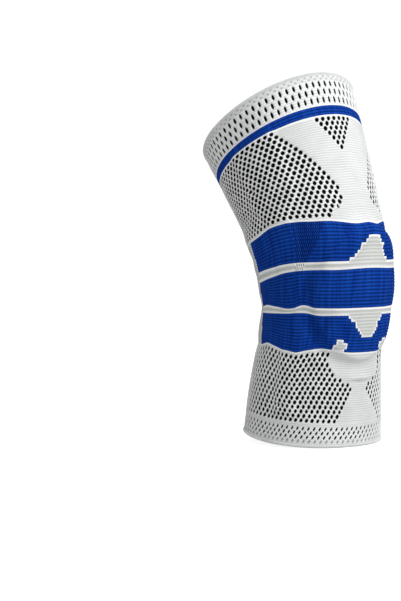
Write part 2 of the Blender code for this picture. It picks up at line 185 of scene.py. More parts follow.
@dataclass
class LegShape:
    """The surface that the knit lies on, in the same sizes as the solids."""

    calf_length: float = 0.124
    thigh_length: float = 0.160
    hem_width: float = 0.121
    hem_depth: float = 0.119
    knee_width: float = 0.103
    knee_depth: float = 0.108
    rim_width: float = 0.141
    rim_depth: float = 0.145
    knit: float = 0.0020
    shin_lean: float = -4.5
    thigh_lean: float = 34.5
    bend: tuple[float, float] = (-0.565, 0.990)
    kneecap_rise: float = 0.0065
    mound_level: float = 0.02
    mound_half_width: float = 0.063
    mound_half_length: float = 0.0552
    mound_slope: float = 0.46
    channel_rise: float = 0.0020
    channel_margin: float = 0.0025
    channel_fall: float = 0.0090
    stay_angle: float = 72.0
    stay_foot: float = -0.734
    stay_crown: float = 0.756
    head_width: float = 0.031
    head_length: float = 0.042
    neck_length: float = 0.020
    spring_width: float = 0.0080
    ring_foot: tuple[float, float] = (0.047, 0.0505)     # half sizes of the ring's outline in the cloth
    ring_middle: float = 0.121
    ring_step: float = 0.0030
    ring_slope: float = 0.0046
    ring_valley: float = 0.0027
    ring_dent: tuple[float, float] = (0.9, 2.0)          # its middle and half width, in slopes
    ring_ridge: float = 0.014        # how far in the step eases off again
    ring_rest: float = -0.15         # share of the step that is left there
    ring_sides: float = 0.45         # share of the step at the ring's sides
    ring_top: float = 0.35           # share of the valley over the ring's top
    axis_steps: int = 600
    axis_spare: float = 0.1
    line_steps: int = 240
    turn_reach: float = 50.0
    turn_steps: int = 101
    zones: tuple[Zone, ...] = (
        Zone(-0.835, 0.00),
        Zone(-0.355, 0.00),
        Zone(-0.125, 0.30),
        Zone(-0.080, 0.00),
        Zone(0.103, 0.30),
        Zone(0.139, 0.00),
        Zone(0.319, 0.30),
        Zone(0.785, 0.00),
        Zone(0.829, 0.00),
        Zone(1.000, 0.25),
    )
    folds: tuple[Fold, ...] = (
        Fold(0.46, 112.0, 0.085, 30.0, -0.70),
        Fold(0.36, 118.0, 0.080, 34.0, 0.45),
        Fold(0.24, 150.0, 0.095, 48.0, -0.90),
        Fold(0.10, 165.0, 0.090, 52.0, 0.60),
        Fold(-0.05, 158.0, 0.095, 50.0, -0.90),
        Fold(-0.20, 168.0, 0.090, 46.0, 0.50),
        Fold(-0.36, 128.0, 0.085, 34.0, -0.55),
        Fold(-0.78, 92.0, 0.080, 26.0, -0.35),
    )
    sections: tuple[Section, ...] = field(init=False)
    axis: tuple[Array, Array, Array] = field(init=False)

    def __post_init__(self) -> None:
        """Work out the cross-sections and the leg's axis from the sizes."""
        rows = (
            (-1.00, 1.000 * self.hem_width, 1.000 * self.hem_depth, 0.43),
            (-0.70, 0.958 * self.hem_width, 0.967 * self.hem_depth, 0.43),
            (-0.38, 1.039 * self.knee_width, 1.019 * self.knee_depth, 0.455),
            (-0.13, 1.000 * self.knee_width, 1.000 * self.knee_depth, 0.49),
            (0.11, 1.068 * self.knee_width, 1.035 * self.knee_depth, 0.515),
            (0.29, 1.165 * self.knee_width, 1.080 * self.knee_depth, 0.52),
            (0.50, 0.887 * self.rim_width, 0.835 * self.rim_depth, 0.50),
            (0.70, 0.936 * self.rim_width, 0.903 * self.rim_depth, 0.51),
            (0.875, 0.972 * self.rim_width, 0.962 * self.rim_depth, 0.535),
            (1.00, 1.000 * self.rim_width, 1.000 * self.rim_depth, 0.55),
        )
        self.sections = tuple(Section(*row) for row in rows)
        low = self.height_of(-1.0 - self.axis_spare)
        high = self.height_of(1.0 + self.axis_spare)
        heights = np.linspace(low, high, self.axis_steps)
        tilt = self.lean(heights)
        steps = np.diff(heights)
        y = np.concatenate([[0.0], np.cumsum(0.5 * (np.sin(tilt[1:]) + np.sin(tilt[:-1])) * steps)])
        z = np.concatenate([[0.0], np.cumsum(0.5 * (np.cos(tilt[1:]) + np.cos(tilt[:-1])) * steps)])
        y -= np.interp(self.calf_length, heights, y)
        z -= np.interp(self.calf_length, heights, z)
        self.axis = (heights, y, z)

    @property
    def length(self) -> float:
        """Return the length along the leg from the hem to the rim."""
        return self.calf_length + self.thigh_length

    def height_of(self, level: Array | float) -> Array:
        """Return the height above the hem of a level: -1 hem, 0 kneecap, 1 rim."""
        level = np.asarray(level, float)
        return self.calf_length + level * np.where(level < 0.0, self.calf_length, self.thigh_length)

    def level_of(self, height: Array | float) -> Array:
        """Return the level of a height above the hem."""
        above = np.asarray(height, float) - self.calf_length
        return above / np.where(above < 0.0, self.calf_length, self.thigh_length)

    def lean(self, height: Array | float) -> Array:
        """Return the leg's lean in radians at a height."""
        low, high = self.height_of(self.bend[0]), self.height_of(self.bend[1])
        turned = smooth((np.asarray(height) - low) / (high - low))
        return np.radians(self.shin_lean + (self.thigh_lean - self.shin_lean) * turned)

    def section(self, level: Array | float) -> tuple[Array, Array, Array]:
        """Return the half width, front depth and back depth of the sleeve at a level.

        Args:
            level: -1 at the hem, 0 at the kneecap's middle and 1 at the rim.

        Returns:
            The three sizes in metres.
        """
        levels = [row.level for row in self.sections]
        half_width = curve_through(levels, [row.width / 2.0 for row in self.sections], level)
        front = curve_through(levels, [row.depth * row.front_share for row in self.sections], level)
        back = curve_through(levels, [row.depth * (1.0 - row.front_share) for row in self.sections], level)
        return half_width, front, back

    def round_reach(self, angle: Array, level: Array, middle: float) -> Array:
        """Return the rough distance round the leg from the middle angle, in metres."""
        half_width, front, back = self.section(level)
        return np.radians(turned_from(angle, middle)) * (2.0 * half_width + front + back) / 4.0

    def kneecap_mound(self, angle: Array, level: Array) -> Array:
        """Return how far the kneecap and its ring push the knit out."""
        across = self.round_reach(angle, level, 0.0) / self.mound_half_width
        along = (self.height_of(level) - self.height_of(self.mound_level)) / self.mound_half_length
        return self.kneecap_rise * smooth((1.0 - np.hypot(across, along)) / self.mound_slope)

    @property
    def head_base(self) -> float:
        """Return the height where a stay's neck meets its spring."""
        return float(self.height_of(self.stay_crown)) - self.head_length - self.neck_length

    def ring_lift(self, angle: Array, height: Array) -> Array:
        """Return how far the cloth steps up over the kneecap ring, with a valley round it.

        Args:
            angle: Degrees round the leg from the front.
            height: Height above the hem, in metres.

        Returns:
            The rise in metres, negative in the valley.
        """
        half_across, half_along = self.ring_foot
        across = self.round_reach(angle, self.level_of(height), 0.0)
        along = np.asarray(height) - self.ring_middle
        reach = np.hypot(across / half_across, along / half_along)
        inside = (1.0 - reach) * (half_across + half_along) / 2.0
        middle, half = self.ring_dent
        valley = hill(inside + self.ring_slope * middle, self.ring_slope * half)
        eased = 1.0 - (1.0 - self.ring_rest) * smooth((inside - self.ring_slope) / self.ring_ridge)
        toward_sides = np.abs(across / half_across) / np.maximum(reach, 0.05)
        step = self.ring_step * (1.0 - (1.0 - self.ring_sides) * smooth(toward_sides) ** 4)
        dent = self.ring_valley * (1.0 - (1.0 - self.ring_top) * smooth(along / half_along))
        return step * smooth(inside / self.ring_slope) * eased - dent * valley

    def stay_channel(self, angle: Array, level: Array, side: float) -> Array:
        """Return how far the stay on one side pushes the knit out.

        Args:
            angle: Degrees round the leg from the front.
            level: -1 at the hem, 0 at the kneecap's middle and 1 at the rim.
            side: 1 for the +X side and -1 for the other.

        Returns:
            The rise in metres.
        """
        height = self.height_of(level)
        across = np.abs(self.round_reach(angle, level, side * self.stay_angle))
        under_head = smooth((height - self.head_base) / self.neck_length)
        half_stay = self.spring_width / 2.0 + under_head * (self.head_width - self.spring_width) / 2.0
        reach = self.channel_margin + self.channel_fall
        sides = smooth((half_stay + reach - across) / self.channel_fall)
        lower = smooth((height - self.height_of(self.stay_foot) + reach) / self.channel_fall)
        upper = smooth((self.height_of(self.stay_crown) + reach - height) / self.channel_fall)
        return self.channel_rise * sides * lower * upper

    def zone_puff(self, level: Array) -> Array:
        """Return how far the knitted zones stand out between their edges.

        Args:
            level: -1 at the hem, 0 at the kneecap's middle and 1 at the rim.

        Returns:
            The rise in metres.
        """
        out = np.zeros_like(level)
        bottom = -1.0
        for zone in self.zones:
            share = np.clip((level - bottom) / (zone.top - bottom), 0.0, 1.0)
            out = out + self.knit * zone.puff * np.sin(math.pi * share)
            bottom = zone.top
        return out

    def broad_folds(self, angle: Array, level: Array) -> Array:
        """Return how far the broad folds move the knit.

        Args:
            angle: Degrees round the leg from the front.
            level: -1 at the hem, 0 at the kneecap's middle and 1 at the rim.

        Returns:
            The rise in metres.
        """
        out = np.zeros_like(angle + level)
        for fold in self.folds:
            along = self.height_of(level) - self.height_of(fold.level)
            for side in (-1.0, 1.0):
                away = turned_from(angle, side * fold.angle)
                rise = hill(along, fold.half_height * self.calf_length) * hill(away, fold.half_angle)
                out = out + self.knit * fold.rise * rise
        return out

    def relief(self, angle: Array, level: Array) -> Array:
        """Return how far the knit stands out from the plain cross-sections.

        Args:
            angle: Degrees round the leg from the front.
            level: -1 at the hem, 0 at the kneecap's middle and 1 at the rim.

        Returns:
            The rise in metres.
        """
        out = self.kneecap_mound(angle, level) + self.zone_puff(level) + self.broad_folds(angle, level)
        for side in Side:
            out = out + self.stay_channel(angle, level, side.value)
        return out

    def point(self, angle: Array | float, level: Array | float, depth: Array | float = 0.0) -> Array:
        """Find points of the sleeve.

        Args:
            angle: Degrees round the leg from the front, positive towards +X.
            level: -1 at the hem, 0 at the kneecap's middle and 1 at the rim.
            depth: Distance inside the knit's outer face, in metres.

        Returns:
            The points, with x, y and z along the last axis.
        """
        angle, level, depth = np.broadcast_arrays(
            np.asarray(angle, float), np.asarray(level, float), np.asarray(depth, float))
        half_width, front, back = self.section(level)
        turn = np.radians(angle)
        half_depth = np.where(np.cos(turn) > 0.0, front, back)
        normal_x = np.sin(turn) / half_width
        normal_y = -np.cos(turn) / half_depth
        size = np.hypot(normal_x, normal_y)
        out = self.relief(angle, level) - depth
        x = half_width * np.sin(turn) + out * normal_x / size
        y = -half_depth * np.cos(turn) + out * normal_y / size
        heights, axis_y, axis_z = self.axis
        height = self.height_of(level)
        tilt = self.lean(height)
        world_y = np.interp(height, heights, axis_y) + y * np.cos(tilt)
        world_z = np.interp(height, heights, axis_z) - y * np.sin(tilt)
        return np.stack([x, world_y, world_z], axis=-1)

    def climb(self, angle: float, level: float, distances: Array) -> Array:
        """Return the levels reached by going these distances up the sleeve's inner face.

        Args:
            angle: Degrees round the leg from the front.
            level: Where they start.
            distances: How far they go, in metres.

        Returns:
            The levels.
        """
        levels = np.linspace(-1.0, 1.0, self.line_steps)
        line = self.point(angle, levels, self.knit)
        gone = np.concatenate([[0.0], np.cumsum(np.linalg.norm(np.diff(line, axis=0), axis=1))])
        return np.interp(np.interp(level, levels, gone) + distances, gone, levels)

    def go_round(self, angle: float, levels: Array, distances: Array) -> Array:
        """Return the angles reached by going each distance round the inner face at its level.

        Args:
            angle: Where they start, in degrees.
            levels: Their levels.
            distances: How far they go, in metres.

        Returns:
            The angles in degrees.
        """
        angles = np.linspace(angle - self.turn_reach, angle + self.turn_reach, self.turn_steps)
        lines = self.point(angles, np.asarray(levels, float)[:, None], self.knit)
        steps = np.linalg.norm(np.diff(lines, axis=1), axis=2)
        gone = np.concatenate([np.zeros((len(lines), 1)), np.cumsum(steps, axis=1)], axis=1)
        middle = self.turn_steps // 2
        return np.array([
            np.interp(far + line[middle], line, angles) for far, line in zip(distances, gone)])


@dataclass(frozen=True)
class Course:
    """A line round the sleeve where one zone meets the next, the same on both sides."""

    angles: tuple[float, ...]       # degrees from the middle of the front
    heights: tuple[float, ...]      # mm above the hem

    def height(self, angle: Array) -> Array:
        """Return the height in metres at angles of the pattern."""
        return MM * curve_through(self.angles, self.heights, np.abs(turned_from(angle, 0.0)))


@dataclass(frozen=True)
class Figure:
    """A form of the pattern: its half width in degrees at rising heights in mm."""

    heights: tuple[float, ...]
    half_widths: tuple[float, ...]
    middle: float = 0.0

    def holds(self, angle: Array, height: Array) -> Array:
        """Return whether places of the pattern, in degrees and metres, lie inside.

        Args:
            angle: Angles of the pattern.
            height: Heights above the hem.

        Returns:
            True for the places inside.
        """
        tall = height / MM
        reach = np.interp(tall, self.heights, self.half_widths)
        within = (tall >= self.heights[0]) & (tall <= self.heights[-1])
        return within & (np.abs(turned_from(angle, self.middle)) <= reach)


@dataclass
class KnitChart:
    """Where the courses run and what is knitted where."""

    drift_heights: tuple[float, ...] = (0, 22, 48, 76, 92, 107, 146, 160, 195, 246, 284)
    drifts: tuple[float, ...] = (1, 3, -1, -3.5, -2.9, -4.5, -1.5, 2, 1, -2, -3)
    courses: dict[str, Course] = field(default_factory=lambda: {
        "hem": Course((0, 180), (0, 0)),
        "hem_dashes_bottom": Course((0, 180), (2.6, 2.6)),
        "hem_dashes_top": Course((0, 180), (17, 17)),
        "cuff_top": Course((0, 180), (20.5, 20.5)),
        "blue_bottom": Course(
            (0, 15, 25, 33, 40, 50, 57, 62, 72, 81, 90, 99, 113, 135, 180),
            (80, 80.2, 81.2, 82, 82.4, 81.2, 79.8, 78.6, 79.4, 80, 81.5, 83, 80, 80, 80)),
        "lower_stripe_bottom": Course(
            (0, 25, 48, 57, 75, 112, 135, 180), (108.3, 108.1, 108.6, 110, 109.6, 109.1, 108.5, 108.5)),
        "lower_stripe_top": Course(
            (0, 38, 48, 59, 66, 88, 103, 114, 135, 180),
            (113.2, 113.6, 114.1, 116.1, 114.1, 115.1, 116.6, 115, 114, 114)),
        "upper_stripe_bottom": Course(
            (0, 32, 55, 72, 93, 116, 135, 180), (140.2, 140.2, 142.3, 142.3, 140.2, 137.7, 138, 138)),
        "upper_stripe_top": Course(
            (0, 31, 53, 70, 90, 117, 135, 180), (145.3, 145.8, 147.8, 148.8, 148.3, 146.8, 145, 145)),
        "blue_top": Course(
            (0, 13, 21, 31, 49, 60, 75, 88, 98, 115, 135, 180),
            (171, 170.4, 171.9, 173.9, 176.4, 178.4, 179.4, 178.9, 176.9, 175.9, 176, 176)),
        "band_bottom": Course((0, 180), (249.6, 249.6)),
        "band_top": Course((0, 180), (256.7, 256.7)),
        "rim_dashes_bottom": Course((0, 180), (257.9, 257.9)),
        "rim_dashes_top": Course((0, 180), (277.4, 277.4)),
        "rim": Course((0, 180), (284, 284)),
    })
    upper_drop: Figure = Figure(
        (144, 147.3, 149.4, 152.7, 155.4, 157.6, 160, 161.6), (21.8, 18.6, 16.2, 13.4, 11.3, 9.2, 6.4, 4.6))
    lower_drop: Figure = Figure(
        (92.4, 93, 94.8, 98.6, 102.4, 105.6, 108.7, 110.6), (5, 5.4, 8.1, 10.5, 12.9, 16.4, 18.6, 19))
    tabs: tuple[Figure, ...] = tuple(
        Figure((76, 81.5, 83, 86.5, 87.6, 89.4), (5, 5, 6.2, 6.2, 3.2, 3), side * 24.6)
        for side in (-1, 1))
    calf_panel: Figure = Figure(
        (10, 22, 27, 36, 43, 51, 55, 58, 61, 68, 76, 90),
        (24, 24, 20, 13.5, 9, 8.7, 11, 19.5, 26, 29, 31, 31))
    thigh_panel: Figure = Figure(
        (160, 180.5, 182.5, 185.5, 189.5, 197, 201, 209, 216, 223, 230, 237, 244, 260),
        (31, 31, 24.5, 18.5, 15.5, 15.7, 17, 23, 28.6, 33.5, 39, 44.3, 49.5, 52))
    blue_reach: float = 115.0       # degrees each way from the front
    blue_waves: tuple[float, float] = (2.0, 32.0)    # degrees, and mm from crest to crest
    triangle_dots: int = 7          # in its top row, one fewer in each row below
    triangle_middle: float = -2.5
    tick_heights: tuple[float, ...] = (139, 150, 160, 170, 178)
    tick_outer: tuple[float, ...] = (63.5, 64, 64.5, 65, 65)
    tick_inner: tuple[float, ...] = (60, 54, 47, 41, 36)

    def drift(self, height: Array) -> Array:
        """Return how far the pattern is turned round the leg at a height, in degrees."""
        return curve_through(self.drift_heights, self.drifts, np.asarray(height) / MM)

    def ticked(self, angle: Array, height: Array) -> Array:
        """Return which places of the pattern carry the small ticks beside the kneecap.

        Args:
            angle: Angles of the pattern.
            height: Heights above the hem.

        Returns:
            True for the places with ticks.
        """
        tall, away = height / MM, np.abs(turned_from(angle, 0.0))
        outer = np.interp(tall, self.tick_heights, self.tick_outer)
        inner = np.interp(tall, self.tick_heights, self.tick_inner)
        low, high = self.tick_heights[0], self.tick_heights[-1]
        return (tall > low) & (tall < high) & (away > inner) & (away < outer)

    def yarn(self, angle: Array, height: Array, band: Array) -> Array:
        """Choose the yarn of each cell of the knee.

        Args:
            angle: Angle of the pattern at the cells' middles, in degrees.
            height: Height of the middles, in metres.
            band: Which cells lie in a blue band.

        Returns:
            1 for blue and 0 for white.
        """
        waves, pitch = self.blue_waves
        reach = self.blue_reach + waves * np.sin(2.0 * math.pi * height / (pitch * MM))
        blue = band & (np.abs(turned_from(angle, 0.0)) < reach)
        for figure in (self.upper_drop, self.lower_drop, *self.tabs):
            blue &= ~figure.holds(angle, height)
        return np.where(blue, Yarn.BLUE.value, Yarn.WHITE.value)


@dataclass(frozen=True)
class Cloth:
    """The knit as it lies over the leg, with the ring's edge and the creases in it."""

    leg: LegShape
    chart: KnitChart
    creases: tuple[Crease, ...]
    feel: float = 0.0030           # how far round a place its lowest neighbour is looked for
    feel_steps: int = 5

    def lift(self, angle: Array, height: Array) -> Array:
        """Return how far the ring's edge and the creases move the knit.

        Args:
            angle: Degrees round the leg from the front.
            height: Height above the hem, in metres.

        Returns:
            The rise in metres.
        """
        level = self.leg.level_of(height)
        out = self.leg.ring_lift(angle - self.chart.drift(height), height)
        for crease in self.creases:
            for side in (-1.0, 1.0):
                across = self.leg.round_reach(angle, level, side * crease.angle) * side
                along = height - crease.height
                turn = math.radians(crease.turn)
                far = across * math.cos(turn) + along * math.sin(turn)
                near = along * math.cos(turn) - across * math.sin(turn)
                out = out + crease.rise * hill(far, crease.half_across) * hill(near, crease.half_along)
                if crease.angle == 0.0:
                    break
        return out

    def lift_below(self, angle: Array, height: Array) -> Array:
        """Return the lowest lift of the knit near a place, which a piece under it keeps to.

        Args:
            angle: Degrees round the leg from the front.
            height: Height above the hem, in metres.

        Returns:
            The rise in metres.
        """
        angle, height = np.broadcast_arrays(angle, height)
        half_width, _, _ = self.leg.section(self.leg.level_of(height))
        steps = np.linspace(-self.feel, self.feel, self.feel_steps)
        turns = np.degrees(steps / half_width[..., None])[..., :, None]
        near = self.lift(angle[..., None, None] + turns, height[..., None, None] + steps)
        return near.min(axis=(-2, -1))


@dataclass
class Clad:
    """A piece that is part of the cloth or lies under it."""

    cloth: Cloth

    @property
    def leg(self) -> LegShape:
        """Return the leg that the cloth lies on."""
        return self.cloth.leg


# Nodes ------------------------------------------------------------------------------------


@dataclass
class Wiring:
    """Adds nodes to one tree and joins them."""

    tree: NodeTree

    def node(self, kind: str, **settings: Any) -> Node:
        """Add a node of a kind, with its settings.

        Args:
            kind: The node's type.
            settings: Its properties by name.

        Returns:
            The node.
        """
        made = self.tree.nodes.new(kind)
        for name, value in settings.items():
            setattr(made, name, value)
        return made

    def join(self, value: Any, socket: NodeSocket) -> None:
        """Feed a socket from another socket, or set it to a plain value.

        Args:
            value: Another socket or a plain value.
            socket: The socket to feed.
        """
        if isinstance(value, NodeSocket):
            self.tree.links.new(value, socket)
        else:
            socket.default_value = value

    def math(self, operation: str, *values: Any) -> NodeSocket:
        """Add a math node and return its result.

        Args:
            operation: What it works out.
            values: Its inputs in order.

        Returns:
            Its result.
        """
        made = self.node("ShaderNodeMath", operation=operation)
        for value, socket in zip(values, made.inputs):
            self.join(value, socket)
        return made.outputs[0]

    def slope(
        self, value: Any, low: Any, high: Any, start: Any, end: Any, kind: str = "SMOOTHSTEP",
    ) -> NodeSocket:
        """Go from start to end as a value goes from low to high.

        Args:
            value: The value.
            low: Where the slope starts.
            high: Where it ends.
            start: The result up to low.
            end: The result from high on.
            kind: Whether it eases in and out or is straight.

        Returns:
            The result.
        """
        made = self.node("ShaderNodeMapRange", interpolation_type=kind)
        for name, given in (("Value", value), ("From Min", low), ("From Max", high),
                            ("To Min", start), ("To Max", end)):
            self.join(given, made.inputs[name])
        return made.outputs["Result"]

    def mix(self, share: Any, first: Any, second: Any, blend: str = "MIX") -> NodeSocket:
        """Mix two colours.

        Args:
            share: How much of the second one.
            first: The first colour.
            second: The second colour.
            blend: How they mix.

        Returns:
            The mixed colour.
        """
        made = self.node("ShaderNodeMix", data_type="RGBA", blend_type=blend)
        self.join(share, made.inputs[0])
        self.join(first, made.inputs[6])
        self.join(second, made.inputs[7])
        return made.outputs[2]

    def place(self, group: NodeTree, **values: Any) -> Node:
        """Place a shader group, with the values of its named inputs.

        Args:
            group: The group's tree.
            values: Its inputs, with _ for a space.

        Returns:
            The node.
        """
        made = self.node("ShaderNodeGroup", node_tree=group)
        for name, value in values.items():
            self.join(value, made.inputs[name.replace("_", " ").title()])
        return made


def new_group(name: str, inputs: Sequence[str], outputs: Sequence[str]) -> tuple[Wiring, Any, Any]:
    """Start a shader group of plain values.

    Args:
        name: What the group is called.
        inputs: Names of its inputs.
        outputs: Names of its outputs.

    Returns:
        The group's wiring, the outputs of its input node and the inputs of its output node.
    """
    tree = bpy.data.node_groups.new(name, "ShaderNodeTree")
    for socket in inputs:
        tree.interface.new_socket(socket, in_out="INPUT", socket_type="NodeSocketFloat")
    for socket in outputs:
        tree.interface.new_socket(socket, in_out="OUTPUT", socket_type="NodeSocketFloat")
    wiring = Wiring(tree)
    return wiring, wiring.node("NodeGroupInput").outputs, wiring.node("NodeGroupOutput").inputs


def dot_share(wiring: Wiring, sockets: Any) -> NodeSocket:
    """Work out how much of a dot a place lies in, with odd rows shifted by half a dot.

    Args:
        wiring: Where the nodes go.
        sockets: Values by name, as listed in DOT_INPUTS.

    Returns:
        1 inside a dot and 0 outside.
    """
    row_number = wiring.math("FLOOR", sockets["Row"])
    shift = wiring.math("MULTIPLY", wiring.math("FLOORED_MODULO", row_number, 2.0), 0.5)
    around = wiring.math("MULTIPLY", sockets["Around"], sockets["Repeats"])
    across = wiring.math("ADD", around, shift)
    column = wiring.math("FLOOR", across)
    seed = wiring.node("ShaderNodeCombineXYZ")
    columns = wiring.math("MULTIPLY", sockets["Repeats"], float(DOTS_ROUND))
    wiring.join(wiring.math("FLOORED_MODULO", column, columns), seed.inputs[0])
    wiring.join(row_number, seed.inputs[1])
    noise = wiring.node("ShaderNodeTexWhiteNoise", noise_dimensions="3D")
    wiring.join(seed.outputs[0], noise.inputs["Vector"])
    change = wiring.math("SUBTRACT", noise.outputs["Value"], 0.5)
    change = wiring.math("MULTIPLY", change, sockets["Jitter"])
    size = wiring.math("ADD", change, 1.0)
    x = wiring.math("SUBTRACT", wiring.math("SUBTRACT", across, column), 0.5)
    y = wiring.math("SUBTRACT", wiring.math("SUBTRACT", sockets["Row"], row_number), 0.5)
    x = wiring.math("SUBTRACT", x, wiring.math("MULTIPLY", y, sockets["Slant"]))
    x = wiring.math("DIVIDE", x, wiring.math("MULTIPLY", sockets["Half Width"], size))
    y = wiring.math("DIVIDE", y, wiring.math("MULTIPLY", sockets["Half Height"], size))
    reach = wiring.math("ADD", wiring.math("MULTIPLY", x, x), wiring.math("MULTIPLY", y, y))
    reach = wiring.math("SQRT", reach)
    inner = wiring.math("SUBTRACT", 1.0, sockets["Softness"])
    outer = wiring.math("ADD", 1.0, sockets["Softness"])
    return wiring.math("MULTIPLY", wiring.slope(reach, inner, outer, 1.0, 0.0), sockets["Open"])


def rib_share(wiring: Wiring, row: Any, ribs: Any) -> NodeSocket:
    """Return 0 in the groove between two ribs and 1 on the crest of a rib."""
    turn = wiring.math("MULTIPLY", wiring.math("MULTIPLY", row, ribs), 2.0 * math.pi)
    return wiring.math("MULTIPLY_ADD", wiring.math("COSINE", turn), -0.5, 0.5)


TONE_SPREAD = (0.25, 0.75)         # the noise goes from Low to High between these values
SHEEN_STREAK_SPREAD = (0.3, 0.7)
SHEEN_STREAKS_ROUND = 1.7                # how fast the painted sheen streaks change in a dot's cell round the leg
SHEEN_STREAKS_ALONG = 0.07               # and in a row
LOOP_STEPS = 12
STRAND_SIDES = 5
DOT_INPUTS = (
    "Around", "Row", "Open", "Repeats", "Half Width", "Half Height", "Slant", "Softness", "Jitter")


def open_work_group() -> NodeTree:
    """Build the shader group that draws dots and dashes of open work."""
    wiring, given, result = new_group("open work", DOT_INPUTS, ("Dot",))
    wiring.join(dot_share(wiring, given), result["Dot"])
    return wiring.tree


def rib_group() -> NodeTree:
    """Build the shader group that tells ribs from the grooves between them."""
    wiring, given, result = new_group("ribs", ("Row", "Ribs"), ("Crest",))
    wiring.join(rib_share(wiring, given["Row"], given["Ribs"]), result["Crest"])
    return wiring.tree


def stitch_group() -> NodeTree:
    """Build the shader group of knitted loops, which lean together in columns of V forms.

    Returns:
        The group's tree.
    """
    wiring, given, result = new_group("knitted loops", ("Around", "Row", "Wales", "Stitches"), ("Height",))
    wale = wiring.math("FRACT", wiring.math("MULTIPLY", given["Around"], given["Wales"]))
    leg = wiring.math("ABSOLUTE", wiring.math("MULTIPLY_ADD", wale, 2.0, -1.0))
    along = wiring.math("MULTIPLY", given["Row"], given["Stitches"])
    along = wiring.math("FRACT", wiring.math("MULTIPLY_ADD", leg, -0.5, along))
    loop = wiring.math("SINE", wiring.math("MULTIPLY", along, math.pi))
    strand = wiring.math("SINE", wiring.math("MULTIPLY", leg, math.pi))
    strand = wiring.math("MULTIPLY_ADD", strand, 0.5, 0.5)
    wiring.join(wiring.math("MULTIPLY", loop, strand), result["Height"])
    return wiring.tree


def tone_group() -> NodeTree:
    """Build the shader group of soft changes of tone over a surface.

    Returns:
        The group's tree.
    """
    wiring, given, result = new_group("soft tone", ("Scale", "Low", "High"), ("Tone",))
    place = wiring.node("ShaderNodeTexCoord").outputs["Object"]
    noise = wiring.node("ShaderNodeTexNoise", noise_dimensions="3D")
    wiring.join(place, noise.inputs["Vector"])
    wiring.join(given["Scale"], noise.inputs["Scale"])
    noise.inputs["Detail"].default_value = 3.0
    tone = wiring.slope(noise.outputs[0], *TONE_SPREAD, given["Low"], given["High"], kind="LINEAR")
    wiring.join(tone, result["Tone"])
    return wiring.tree


def sheen_streak_group() -> NodeTree:
    """Build the shader group of long streaks of painted sheen that run up the wales, random in place.

    Returns:
        The group's tree.
    """
    wiring, given, result = new_group("wale streaks", ("Around", "Row", "Low", "High"), ("Tone",))
    place = wiring.node("ShaderNodeCombineXYZ")
    wiring.join(wiring.math("MULTIPLY", given["Around"], SHEEN_STREAKS_ROUND), place.inputs[0])
    wiring.join(wiring.math("MULTIPLY", given["Row"], SHEEN_STREAKS_ALONG), place.inputs[1])
    noise = wiring.node("ShaderNodeTexNoise", noise_dimensions="2D")
    wiring.join(place.outputs[0], noise.inputs["Vector"])
    noise.inputs["Scale"].default_value = 1.0
    noise.inputs["Detail"].default_value = 4.0
    tone = wiring.slope(noise.outputs[0], *SHEEN_STREAK_SPREAD, given["Low"], given["High"], kind="LINEAR")
    wiring.join(tone, result["Tone"])
    return wiring.tree


@dataclass
class ShaderKit:
    """The shader groups that the finishes share."""

    open_work: NodeTree = field(default_factory=open_work_group)
    ribs: NodeTree = field(default_factory=rib_group)
    loops: NodeTree = field(default_factory=stitch_group)
    tone: NodeTree = field(default_factory=tone_group)
    streaks: NodeTree = field(default_factory=sheen_streak_group)


def new_material(name: str) -> tuple[Material, Wiring, Node]:
    """Start a material and return it with its wiring and its main shader.

    Args:
        name: What it is called.

    Returns:
        The material, its wiring and its main shader.
    """
    material = bpy.data.materials.new(name)
    material.use_nodes = True
    wiring = Wiring(material.node_tree)
    return material, wiring, material.node_tree.nodes["Principled BSDF"]


def solid(colour: Colour) -> tuple[float, float, float, float]:
    """Return a colour with full alpha."""
    return (*colour, 1.0)


@dataclass(frozen=True)
class OpenWork:
    """How one zone's open work looks, in shares of the dot's own cell, and its ribs."""

    half_width: float
    half_height: float
    softness: float
    jitter: float
    pit: float             # metres
    ribs: float            # ribs in each row of the chart
    rib_height: float      # metres
    wales: float           # columns of loops in each dot's cell
    stitches: float        # loops in each row of the chart
    slant: float = 0.0     # sideways lean of a dot over its cell's height
    repeats: float = 1.0   # dots in each cell round the leg


